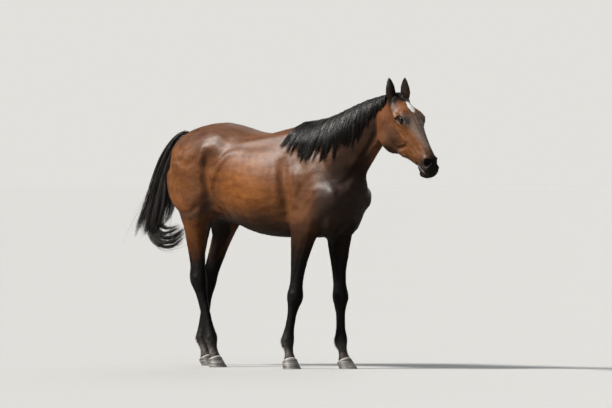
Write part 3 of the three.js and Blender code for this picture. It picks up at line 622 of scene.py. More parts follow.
    def stroke_head(self, head: np.ndarray) -> None:
        """Shapes the face, then the lids, nostrils and mouth."""
        surface = self.surface
        eye, nostril = Eye(), Nostril()
        normals = surface.normals()
        local = HEAD.local(surface.co)
        turned = normals @ HEAD.axes
        for side in SIDES:
            mirror = np.array((1, side, 1))
            mirrored = local * mirror
            facing = np.clip(turned[:, 1] * side * 1.6, 0, 1) * smoothstep(0.004, 0.016, mirrored[:, 1])
            amount = np.zeros(len(local))
            for stroke in HEAD_STROKES:
                gate = 1.0 if stroke.all_round else facing
                amount += stroke.amount(mirrored) * gate * (mirrored[:, 1] > 0)
            surface.co += normals * (amount * head)[:, None]
        local = HEAD.local(surface.co)
        lips, _ = near_path(local[:, [0, 2]], np.array(MOUTH))
        groove = np.clip(1 - (lips / 0.0090) ** 2, 0, None) ** 1.5
        surface.co -= surface.normals() * (0.0100 * groove * head * (local[:, 0] > 0.465))[:, None]
        for side in SIDES:
            local = HEAD.local(surface.co)
            mirror = np.array((1, side, 1))
            mirrored = local * mirror
            chosen = (head > 0.3) & (mirrored[:, 1] > 0.006)
            moved = mirrored + nostril.push(mirrored)
            moved[:, 1] = np.maximum(moved[:, 1], np.minimum(mirrored[:, 1], 0.010))
            mirrored[chosen] = moved[chosen]
            shaped = eye.shape(mirrored)
            mirrored[chosen, 1] = shaped[chosen]
            surface.co = HEAD.world(mirrored * mirror)



# ------------------------------------------------------------------ markings


def wobble(points: np.ndarray, size: float) -> np.ndarray:
    """A smooth uneven field between about -1 and 1.

    Args:
        points: Where to read it.
        size: The length of its swells.

    Returns:
        One value for each point.
    """
    total = np.zeros(len(points))
    for i, way in enumerate(((1.0, 0.3, -0.6), (-0.5, 1.0, 0.4), (0.3, -0.7, 1.0), (0.9, 0.8, 0.5))):
        total += np.sin(points @ np.array(way) * (2 * math.pi / size) * (1 + 0.31 * i) + 1.7 * i)
    return total / 2.4


def markings(points: np.ndarray) -> dict[str, np.ndarray]:
    """The coat's markings at points on the skin.

    Args:
        points: Points of the frame.

    Returns:
        Masks from 0 to 1: black points with painted shade in the nostrils and under the mane, white star, dusty grey,
            a darker bay that also holds painted shade and a painted highlight, and hair that hangs down.
    """
    p, local = to_mid(points), HEAD.local(points)
    head, _ = Skin.regions(points)
    rough = wobble(points, 0.11) + 0.6 * wobble(points, 0.037)
    z = p[:, 2] + 0.012 * rough
    fore = p[:, 0] > 0.1
    black = np.where(fore, 1 - smoothstep(0.66, 0.98, z), 1 - smoothstep(0.66, 0.82, z))
    a, b, c = local.T
    muzzle = smoothstep(0.43, 0.54, a + 0.012 * rough + 0.25 * np.clip(-c - 0.08, 0, 0.1)) * head
    eye = Eye()
    around = eye.beyond(local * (1, 1, 1) * np.where(b[:, None] < 0, (1, -1, 1), (1, 1, 1)))
    rim = (1 - smoothstep(0.004, 0.026, around)) * head * (np.abs(b) > 0.05)
    poll = (1 - smoothstep(0.066, 0.094, a + 0.010 * rough)) * smoothstep(-0.085, -0.045, c) * head
    # Black muzzle, eye rims and poll; the nostrils' openings are painted black as painted shade.
    black = np.maximum.reduce([black, 0.93 * muzzle, 0.85 * rim, 0.9 * poll, Nostril().inside(local) * head])
    star = np.abs((a - 0.132) / 0.053) ** 1.4 + np.abs((b - 0.006) / (0.020 + 0.16 * np.clip(a - 0.08, 0, 0.1))) ** 1.3
    star = (1 - smoothstep(0.80, 1.08, star + 0.16 * rough)) * head * (c > -0.03)
    bridge = smoothstep(0.16, 0.26, a) * smoothstep(-0.035, 0.0, c) * head * (1 - muzzle)
    socks = (1 - smoothstep(0.10, 0.24, p[:, 2])) * (0.7 + 0.3 * rough)
    dust = np.clip(0.70 * bridge + 0.62 * np.clip(socks, 0, 1), 0, 1)
    # Painted shade low down on the body and upper legs, and on the inner sides between the legs.
    low = (1 - smoothstep(0.88, 1.12, z)) * (1 - 0.75 * smoothstep(-0.36, -0.46, p[:, 0]) * smoothstep(0.10, 0.14, np.abs(p[:, 1])))
    inner = 1 - smoothstep(0.05, 0.14, np.abs(p[:, 1]))
    shade = np.clip(0.85 * low + 0.5 * inner * (1 - smoothstep(0.9, 1.2, z)), 0, 1) * (1 - head)
    shade = np.maximum(shade, 0.60 * smoothstep(1.44, 1.58, z) * (p[:, 0] < 0.95) * (1 - head))
    # Painted shade under and behind the jaw.
    shade = np.maximum(shade, 0.70 * smoothstep(-0.13, -0.23, c) * head * smoothstep(0.10, 0.22, a))
    # The barrel and the buttock stay lighter: partly the coat's own lighter tone, partly painted light.
    gold_and_painted_light = np.exp(-(((p[:, 0] - 0.02) / 0.36) ** 2) - ((p[:, 2] - 1.16) / 0.24) ** 2)
    gold_and_painted_light = np.maximum(gold_and_painted_light, 0.5 * smoothstep(-0.36, -0.50, p[:, 0]) * smoothstep(0.80, 1.0, z) * (z < 1.45))
    # Darker bay on the body outside the barrel and on the head; the extra darkening of the cheek is painted shade.
    cheek = np.exp(-(((a - 0.215) / 0.085) ** 2) - ((c + 0.175) / 0.065) ** 2)
    shade = np.maximum(shade, 0.62 * (1 - gold_and_painted_light) * (1 - head) + (0.36 + 0.40 * cheek) * head)
    # Painted shadow in the fold of the flank, above the stifle.
    fold, _ = near_path(p[:, [0, 2]], np.array(((-0.60, 1.00), (-0.47, 0.99), (-0.37, 1.03), (-0.33, 1.12))))
    shade = np.maximum(shade, 0.75 * np.exp(-((fold / 0.050) ** 2)))
    # Darker breast and throat: partly the coat's own darker colour, partly painted shade.
    breast = smoothstep(0.44, 0.74, p[:, 0] + 0.30 * (1.25 - p[:, 2])) * (1 - smoothstep(1.30, 1.60, z))
    throat = smoothstep(0.00, 0.10, p[:, 0] - 0.74 - 0.86 * (p[:, 2] - 1.16)) * (1 - head)
    shade = np.maximum(shade, 0.95 * np.maximum(breast * (1 - head), throat * (p[:, 2] > 1.0)))
    # Painted shadow of the mane on the neck: more shade and some black in the colour.
    mane_shadow = smoothstep(0.60, 0.78, p[:, 0] + 0.45 * (1.45 - p[:, 2])) * smoothstep(1.16, 1.30, p[:, 2]) * (1 - head)
    ridge, _ = near_path(p[:, [0, 2]], np.array(NECK_RIDGE))
    mane_shadow *= 1 - 0.9 * np.exp(-((ridge / 0.030) ** 2)) * smoothstep(1.22, 1.36, p[:, 2])
    shade = np.maximum(shade, 0.90 * mane_shadow)
    black = np.maximum(black, 0.40 * mane_shadow)
    # Painted shade on both sides of the neck's ridge, and a painted highlight along the ridge itself.
    beside = np.exp(-(((ridge - 0.042) / 0.022) ** 2)) * (1 - head) * (p[:, 0] > 0.8)
    painted_ridge_highlight = np.exp(-((ridge / 0.014) ** 2)) * (1 - head) * smoothstep(1.22, 1.36, p[:, 2])
    shade = np.maximum(shade, 0.85 * beside) * (1 - 0.75 * painted_ridge_highlight)
    # Hair that hangs down low on the body; under the mane it also dulls the gloss where the mane's painted shadow
    # lies.
    hang = np.maximum(1 - smoothstep(0.85, 1.05, p[:, 2]), 0.9 * mane_shadow)
    return {"black": black, "star": star, "dust": dust, "shade": shade, "hang": hang}


def mark(mesh: bpy.types.Mesh, marks: dict[str, np.ndarray]) -> None:
    """Writes one attribute on the mesh's points for each mask."""
    for name, values in marks.items():
        layer = mesh.attributes.get(name) or mesh.attributes.new(name, "FLOAT", "POINT")
        layer.data.foreach_set("value", np.asarray(values, np.float32))


# ------------------------------------------------------------------ finishes


class Nodes:
    """A short hand for laying out shader nodes."""

    def __init__(self, tree: bpy.types.NodeTree) -> None:
        """Works on one node tree."""
        self.tree = tree

    def add(self, kind: str, **settings) -> bpy.types.Node:
        """A new node with some of its properties set."""
        node = self.tree.nodes.new(kind)
        for name, value in settings.items():
            setattr(node, name, value)
        return node

    def link(self, source, target) -> None:
        """Joins an output to an input."""
        self.tree.links.new(source, target)

    def put(self, socket, value) -> None:
        """Sets an input, or joins it where the value is another node's output."""
        if isinstance(value, bpy.types.NodeSocket):
            self.link(value, socket)
        else:
            socket.default_value = value

    def attribute(self, name: str) -> bpy.types.NodeSocket:
        """A mask that is painted on the piece."""
        return self.add("ShaderNodeAttribute", attribute_name=name).outputs["Fac"]

    def noise(self, vector, scale: float, detail: float = 3, roughness: float = 0.55) -> bpy.types.NodeSocket:
        """A noise pattern's value."""
        node = self.add("ShaderNodeTexNoise")
        self.put(node.inputs["Scale"], scale)
        self.put(node.inputs["Detail"], detail)
        self.put(node.inputs["Roughness"], roughness)
        self.link(vector, node.inputs["Vector"])
        return node.outputs["Fac"]

    def math(self, operation: str, a, b=0.0, clamp: bool = False) -> bpy.types.NodeSocket:
        """A sum, product or other result of two values."""
        node = self.add("ShaderNodeMath", operation=operation, use_clamp=clamp)
        self.put(node.inputs[0], a)
        self.put(node.inputs[1], b)
        return node.outputs[0]

    def remap(self, value, low: float, high: float, to_low: float = 0.0, to_high: float = 1.0):
        """A value stretched from one range to another."""
        node = self.add("ShaderNodeMapRange", interpolation_type="SMOOTHSTEP")
        for i, v in enumerate((value, low, high, to_low, to_high)):
            self.put(node.inputs[i], v)
        return node.outputs[0]

    def mix(self, share, a, b) -> bpy.types.NodeSocket:
        """A blend of two colours."""
        node = self.add("ShaderNodeMix", data_type="RGBA")
        self.put(node.inputs[0], share)
        self.put(node.inputs[6], a)
        self.put(node.inputs[7], b)
        return node.outputs[2]

    def place(self, scale=(1, 1, 1)) -> bpy.types.NodeSocket:
        """The piece's own coordinates, stretched."""
        coordinates = self.add("ShaderNodeTexCoord")
        mapping = self.add("ShaderNodeMapping")
        mapping.inputs["Scale"].default_value = scale
        self.link(coordinates.outputs["Object"], mapping.inputs["Vector"])
        return mapping.outputs["Vector"]


def group(name: str, inputs: dict, outputs: dict) -> tuple[bpy.types.NodeTree, Nodes, dict, dict]:
    """Starts a shader node group.

    Args:
        name: What it is called.
        inputs: Each input's name and its usual value.
        outputs: Each output's name and socket type.

    Returns:
        The group, its node layout, its inputs' sockets inside and its outputs' sockets inside.
    """
    tree = bpy.data.node_groups.new(name, "ShaderNodeTree")
    for key, value in inputs.items():
        socket = tree.interface.new_socket(key, in_out="INPUT", socket_type="NodeSocketFloat")
        socket.default_value = value
    for key, kind in outputs.items():
        tree.interface.new_socket(key, in_out="OUTPUT", socket_type=kind)
    nodes = Nodes(tree)
    enter, leave = nodes.add("NodeGroupInput"), nodes.add("NodeGroupOutput")
    return (
        tree, nodes,
        {key: enter.outputs[key] for key in inputs},
        {key: leave.inputs[key] for key in outputs},
    )


class Effects:
    """Node groups that several finishes share."""

    def __init__(self) -> None:
        """Builds the groups once."""
        self.lie = self.hair_lie()

    @staticmethod
    def hair_lie() -> bpy.types.NodeTree:
        """Fine streaks along the coat: back over the body, down on the legs."""
        tree, n, given, out = group(
            "hair_lie", {"Hang": 0.0}, {"Height": "NodeSocketFloat", "Tone": "NodeSocketFloat"}
        )
        back = n.noise(n.place((70, 420, 420)), 1.0, 2)
        down = n.noise(n.place((420, 420, 60)), 1.0, 2)
        fine = n.add("ShaderNodeMix", data_type="FLOAT")
        n.put(fine.inputs[0], given["Hang"])
        n.put(fine.inputs[2], back)
        n.put(fine.inputs[3], down)
        broad = n.noise(n.place((9, 30, 24)), 1.0, 4)
        clumps = n.noise(n.place((22, 90, 90)), 1.0, 3)
        n.link(n.math("ADD", fine.outputs[0], n.math("MULTIPLY", clumps, 0.8)), out["Height"])
        n.link(
            n.math("ADD", n.math("MULTIPLY", broad, 0.6), n.math("MULTIPLY", fine.outputs[0], 0.4)), out["Tone"]
        )
        return tree

    def use(self, nodes: Nodes, tree: bpy.types.NodeTree, **values) -> dict:
        """Places a group in a material.

        Args:
            nodes: The material's layout.
            tree: The group.
            values: Its inputs, by name.

        Returns:
            The placed group's outputs by name.
        """
        node = nodes.add("ShaderNodeGroup")
        node.node_tree = tree
        for key, value in values.items():
            nodes.put(node.inputs[key.capitalize()], value)
        return {socket.name: socket for socket in node.outputs}


def material(name: str) -> tuple[bpy.types.Material, Nodes, bpy.types.Node]:
    """A new material, its node layout and its shader."""
    made = bpy.data.materials.new(name)
    made.use_nodes = True
    nodes = Nodes(made.node_tree)
    return made, nodes, made.node_tree.nodes["Principled BSDF"]


@dataclass(frozen=True)
class CoatFinish:
    """The short bay coat with its black points, star and dusty feet; its shade and black masks also lay painted shade
    and a painted highlight into the colour. Colours are linear.
    """

    bay: tuple = (0.150, 0.044, 0.0080, 1)
    # deep: the darker bay, mixed in at random and also the colour of the painted shade
    deep: tuple = (0.015, 0.0050, 0.0022, 1)
    pale: tuple = (0.245, 0.085, 0.017, 1)
    black: tuple = (0.0045, 0.0038, 0.0036, 1)
    grey: tuple = (0.205, 0.182, 0.170, 1)
    white: tuple = (0.85, 0.82, 0.79, 1)
    roughness: float = 0.50
    bump: float = 0.25

    def build(self, effects: Effects) -> bpy.types.Material:
        """Makes the material."""
        made, n, shader = material("bay_coat")
        lie = effects.use(n, effects.lie, hang=n.attribute("hang"))
        patches = n.noise(n.place((5, 5, 5)), 1.0, 3)
        tone = n.remap(n.math("ADD", n.math("MULTIPLY", lie["Tone"], 0.6), n.math("MULTIPLY", patches, 0.4)),
                       0.36, 0.64)
        colour = n.mix(tone, self.bay, self.pale)
        colour = n.mix(n.math("MULTIPLY", n.remap(lie["Tone"], 0.52, 0.34), 0.30), colour, self.deep)
        # Darker bay where the shade mask says: the coat's darker places, painted shade and, less of it, a painted
        # highlight on the neck's ridge.
        colour = n.mix(n.attribute("shade"), colour, self.deep)
        # Black points; the black mask also holds painted shade in the nostrils and under the mane.
        colour = n.mix(n.attribute("black"), colour, self.black)
        speckle = n.remap(n.noise(n.place((160, 160, 160)), 1.0, 2), 0.35, 0.65, 0.5, 1.0)
        colour = n.mix(n.math("MULTIPLY", n.attribute("dust"), speckle), colour, self.grey)
        colour = n.mix(n.attribute("star"), colour, self.white)
        n.link(colour, shader.inputs["Base Color"])
        n.link(n.remap(lie["Tone"], 0.3, 0.7, self.roughness - 0.07, self.roughness + 0.08),
               shader.inputs["Roughness"])
        shader.inputs["Specular IOR Level"].default_value = 0.10
        shader.inputs["Sheen Weight"].default_value = 0.03
        shader.inputs["Sheen Roughness"].default_value = 0.4
        shader.inputs["Sheen Tint"].default_value = (1.0, 0.85, 0.72, 1)
        groomed = n.math("MULTIPLY", n.remap(n.attribute("hang"), 0.0, 1.0, 1.0, 0.30),
                         n.remap(n.attribute("black"), 0.0, 1.0, 1.0, 0.45))
        groomed = n.math("MULTIPLY", groomed, n.remap(n.attribute("shade"), 0.0, 0.7, 0.45, 1.0))
        n.link(n.math("MULTIPLY", groomed, n.remap(lie["Tone"], 0.3, 0.7, 0.50, 0.80)), shader.inputs["Coat Weight"])
        shader.inputs["Coat Roughness"].default_value = 0.50
        bump = n.add("ShaderNodeBump")
        bump.inputs["Strength"].default_value = self.bump
        bump.inputs["Distance"].default_value = 0.0012
        n.link(lie["Height"], bump.inputs["Height"])
        n.link(bump.outputs["Normal"], shader.inputs["Normal"])
        return made


@dataclass(frozen=True)
class LongHairFinish:
    """Black mane and tail hair, each strand with its own tone."""

    root: tuple = (0.0050, 0.0043, 0.0040, 1)
    tip: tuple = (0.055, 0.046, 0.041, 1)
    roughness: float = 0.40

    def build(self) -> bpy.types.Material:
        """Makes the material."""
        made, n, shader = material("long_black_hair")
        streak = n.noise(n.place((260, 260, 40)), 1.0, 2)
        tone = n.math("MULTIPLY", n.attribute("tone"), n.remap(streak, 0.3, 0.7, 0.6, 1.2), clamp=True)
        n.link(n.mix(tone, self.root, self.tip), shader.inputs["Base Color"])
        n.link(n.remap(streak, 0.3, 0.7, self.roughness - 0.06, self.roughness + 0.1), shader.inputs["Roughness"])
        shader.inputs["Specular IOR Level"].default_value = 0.32
        shader.inputs["Sheen Weight"].default_value = 0.02
        shader.inputs["Sheen Tint"].default_value = (0.80, 0.86, 1.0, 1)
        return made


@dataclass(frozen=True)
class EyeFinish:
    """A wet dark brown eye with a long level pupil."""

    iris: tuple = (0.036, 0.013, 0.005, 1)
    rim: tuple = (0.008, 0.005, 0.004, 1)
    pupil: tuple = (0.004, 0.006, 0.010, 1)

    def build(self) -> bpy.types.Material:
        """Makes the material."""
        made, n, shader = material("eye_wet")
        threads = n.noise(n.place((900, 900, 900)), 1.0, 3)
        ring = n.math("ADD", n.attribute("ring"), n.remap(threads, 0.3, 0.7, -0.05, 0.05))
        colour = n.mix(n.remap(ring, 0.55, 0.95), self.iris, self.rim)
        colour = n.mix(n.remap(n.attribute("pupil"), 1.1, 0.85), colour, self.pupil)
        n.link(colour, shader.inputs["Base Color"])
        n.link(n.remap(threads, 0.0, 1.0, 0.03, 0.07), shader.inputs["Roughness"])
        shader.inputs["Specular IOR Level"].default_value = 0.0
        shader.inputs["Coat Weight"].default_value = 0.75
        shader.inputs["Coat Roughness"].default_value = 0.02
        return made


@dataclass(frozen=True)
class HoofFinish:
    """Dull grey horn with growth rings and a pale band under the hair."""

    horn: tuple = (0.068, 0.065, 0.061, 1)
    dark: tuple = (0.024, 0.022, 0.021, 1)
    pale: tuple = (0.360, 0.345, 0.310, 1)

    def build(self) -> bpy.types.Material:
        """Makes the material."""
        made, n, shader = material("hoof_horn")
        grain = n.noise(n.place((260, 260, 30)), 1.0, 3)
        rings = n.noise(n.place((8, 8, 190)), 1.0, 2)
        up = n.attribute("up")
        colour = n.mix(n.remap(grain, 0.3, 0.7), self.dark, self.horn)
        colour = n.mix(n.math("MULTIPLY", n.remap(rings, 0.5, 0.62), 0.45), colour, self.pale)
        colour = n.mix(n.remap(up, 0.86, 0.97), colour, self.pale)
        colour = n.mix(n.remap(up, 0.10, 0.0), colour, self.pale)
        n.link(colour, shader.inputs["Base Color"])
        n.link(n.remap(grain, 0.3, 0.7, 0.45, 0.7), shader.inputs["Roughness"])
        bump = n.add("ShaderNodeBump")
        bump.inputs["Strength"].default_value = 0.5
        bump.inputs["Distance"].default_value = 0.0015
        n.link(n.math("ADD", rings, n.math("MULTIPLY", grain, 0.5)), bump.inputs["Height"])
        n.link(bump.outputs["Normal"], shader.inputs["Normal"])
        return made


@dataclass(frozen=True)
class FloorFinish:
    """A plain pale floor with a trace of unevenness, which throws little light back up."""

    pale: tuple = (0.375, 0.372, 0.365, 1)
    worn: tuple = (0.356, 0.353, 0.346, 1)
    thrown: tuple = (0.100, 0.095, 0.085, 1)

    def build(self) -> bpy.types.Material:
        """Makes the material."""
        made, n, shader = material("floor_paint")
        cloud = n.noise(n.place((0.4, 0.4, 0.4)), 1.0, 3)
        seen = n.add("ShaderNodeLightPath").outputs["Is Camera Ray"]
        n.link(n.mix(seen, self.thrown, n.mix(cloud, self.pale, self.worn)), shader.inputs["Base Color"])
        shader.inputs["Roughness"].default_value = 0.7
        return made


# ------------------------------------------------------------------ making meshes


def new_object(name: str, mesh: bpy.types.Mesh, finish: bpy.types.Material | None = None) -> bpy.types.Object:
    """Puts a mesh in the scene as an object of its own.

    Args:
        name: The piece's name.
        mesh: Its mesh, in place.
        finish: Its material.

    Returns:
        The object.
    """
    mesh.name = name
    if finish:
        mesh.materials.append(finish)
    made = bpy.data.objects.new(name, mesh)
    bpy.context.scene.collection.objects.link(made)
    return made


def mesh_of(name: str, points: np.ndarray, faces: np.ndarray) -> bpy.types.Mesh:
    """A smooth mesh from arrays of points and of faces with equal numbers of corners."""
    mesh = bpy.data.meshes.new(name)
    corners = faces.shape[1]
    mesh.vertices.add(len(points))
    mesh.vertices.foreach_set("co", points.astype(np.float32).ravel())
    mesh.loops.add(faces.size)
    mesh.loops.foreach_set("vertex_index", faces.astype(np.int32).ravel())
    mesh.polygons.add(len(faces))
    mesh.polygons.foreach_set("loop_start", np.arange(0, faces.size, corners, dtype=np.int32))
    mesh.update(calc_edges=True)
    mesh.validate()
    mesh.shade_smooth()
    return mesh


def bake_map(mesh: bpy.types.Mesh, uv: np.ndarray) -> None:
    """Gives the mesh its map for baking.

    Args:
        mesh: The mesh.
        uv: One place on the map for each of the mesh's points.
    """
    corners = np.empty(len(mesh.loops), np.int32)
    mesh.loops.foreach_get("vertex_index", corners)
    layer = mesh.uv_layers.new(name="OFBake")
    layer.data.foreach_set("uv", uv[corners].astype(np.float32).ravel())


def unwrap(points: np.ndarray) -> np.ndarray:
    """An unwrap of the skin's own shape: each part is a tube that is cut open and laid on its own field.

    Args:
        points: Points on the skin.

    Returns:
        Their places on the map, from 0 to 1.
    """
    p = to_mid(points)
    local = HEAD.local(points)
    head, _ = Skin.regions(points)
    around = np.arctan2(p[:, 1], p[:, 2] - 1.22) / (2 * math.pi) + 0.5
    uv = np.stack((around * 0.48 + 0.01, np.clip((p[:, 0] + 0.85) / 2.1, 0, 1) * 0.98 + 0.01), 1)
    face = np.arctan2(local[:, 1], local[:, 2] + 0.11) / (2 * math.pi) + 0.5
    on_head = np.stack((0.52 + face * 0.46, 0.02 + np.clip((local[:, 0] + 0.1) / 0.75, 0, 1) * 0.44), 1)
    uv = np.where((head > 0.5)[:, None], on_head, uv)
    for i, leg in enumerate(LEGS):
        foot = leg.hoof_matrix.translation
        line = np.vstack((leg.line, (foot.x, foot.y, 0.0)))
        height = np.interp(-points[:, 2], -line[:, 2], np.arange(len(line)))
        k = np.minimum(height.astype(int), len(line) - 2)
        middle = line[k] + (line[k + 1] - line[k]) * (height - k)[:, None]
        turn = np.arctan2(points[:, 1] - middle[:, 1], points[:, 0] - middle[:, 0]) / (2 * math.pi) + 0.5
        on_leg = np.stack((0.51 + 0.12 * i + turn * 0.11, 0.52 + np.clip(points[:, 2] / 1.0, 0, 1) * 0.46), 1)
        mine = (p[:, 2] < 0.90) & (np.sign(p[:, 1]) == leg.side) & ((p[:, 0] > 0) == leg.fore)
        uv = np.where(mine[:, None], on_leg, uv)
    return uv


@dataclass
class Sweeps:
    """Many tapered tubes in one mesh: hairs, locks and whiskers.

    paths holds each tube's points, out its side that faces away from the body, width and thick its sizes.
    """

    paths: np.ndarray
    out: np.ndarray
    width: np.ndarray
    thick: np.ndarray
    sides: int = 3

    def faces(self, count: int, steps: int) -> np.ndarray:
        """The triangles of the tubes' walls and of both their ends."""
        first = np.arange(count)[:, None, None] * steps * self.sides
        ring = np.arange(steps - 1)[None, :, None] * self.sides
        k = np.arange(self.sides)[None, None, :]
        a, b = first + ring + k, first + ring + (k + 1) % self.sides
        c, d = b + self.sides, a + self.sides
        walls = np.concatenate((np.stack((a, c, b), 3), np.stack((a, d, c), 3)), 2).reshape(-1, 3)
        fan = np.arange(1, self.sides - 1)
        root = first[:, 0] + np.zeros_like(fan)
        last = root + (steps - 1) * self.sides
        roots = np.stack((root, root + fan, root + fan + 1), 2).reshape(-1, 3)
        tips = np.stack((last, last + fan + 1, last + fan), 2).reshape(-1, 3)
        return np.vstack((walls, roots, tips))

    def mesh(self, name: str, tone: np.ndarray, spread: float = 0.003) -> bpy.types.Mesh:
        """Makes the mesh.

        Args:
            name: The mesh's name.
            tone: Each tube's tone, from 0 to 1.
            spread: How far across each tube's patch is on the map for baking.

        Returns:
            The mesh, with tone as an attribute and its map.
        """
        count, steps, _ = self.paths.shape
        along = unit(np.gradient(self.paths, axis=1))
        out = unit(self.out - along * np.sum(self.out * along, axis=2, keepdims=True))
        side = np.cross(along, out)
        angles = np.arange(self.sides) * 2 * math.pi / self.sides + math.pi / 2
        ring = (
            side[:, :, None] * (np.cos(angles)[None, None, :, None] * self.width[:, :, None, None])
            + out[:, :, None] * (np.sin(angles)[None, None, :, None] * self.thick[:, :, None, None])
        )
        points = (self.paths[:, :, None] + ring).reshape(-1, 3)
        made = mesh_of(name, points, self.faces(count, steps))
        shade = np.repeat(tone, steps * self.sides) * np.tile(
            np.repeat(np.linspace(0.55, 1.0, steps), self.sides), count
        )
        mark(made, {"tone": np.clip(shade, 0, 1)})
        roots = unwrap(self.paths[:, 0])
        place = np.stack(
            (np.tile(np.arange(self.sides) / self.sides, count * steps),
             np.tile(np.repeat(np.linspace(0, 1, steps), self.sides), count)), 1
        )
        bake_map(made, np.repeat(roots, steps * self.sides, axis=0) + (place - 0.5) * spread)
        return made


def curve_through(values, count: int) -> np.ndarray:
    """Even samples of a smooth curve through rows of values.

    Args:
        values: The rows that it passes through.
        count: How many samples to give.

    Returns:
        The samples, one in each row.
    """
    rows = np.asarray(values, float)
    if rows.ndim == 1:
        rows = rows[:, None]
    padded = np.vstack((2 * rows[0] - rows[1], rows, 2 * rows[-1] - rows[-2]))
    at = np.linspace(0, len(rows) - 1, count)
    i = np.minimum(at.astype(int), len(rows) - 2)
    t = (at - i)[:, None]
    a, b, c, d = padded[i], padded[i + 1], padded[i + 2], padded[i + 3]
    return 0.5 * (2 * b + (c - a) * t + (2 * a - 5 * b + 4 * c - d) * t**2 + (3 * b - a - 3 * c + d) * t**3)


def read_grid(grid: np.ndarray, u: np.ndarray, v: np.ndarray) -> np.ndarray:
    """Values between a grid's points.

    Args:
        grid: Rows over u and columns over v.
        u: Shares of the rows, from 0 to 1.
        v: Shares of the columns, from 0 to 1.

    Returns:
        One value or vector for each place.
    """
    rows, columns = grid.shape[0] - 1, grid.shape[1] - 1
    x, y = np.clip(u, 0, 1) * rows, np.clip(v, 0, 1) * columns
    i, j = np.minimum(x.astype(int), rows - 1), np.minimum(y.astype(int), columns - 1)
    s, t = (x - i)[..., None], (y - j)[..., None]
    return (
        grid[i, j] * (1 - s) * (1 - t) + grid[i + 1, j] * s * (1 - t)
        + grid[i, j + 1] * (1 - s) * t + grid[i + 1, j + 1] * s * t
    )


# ------------------------------------------------------------------ mane, forelock and tail


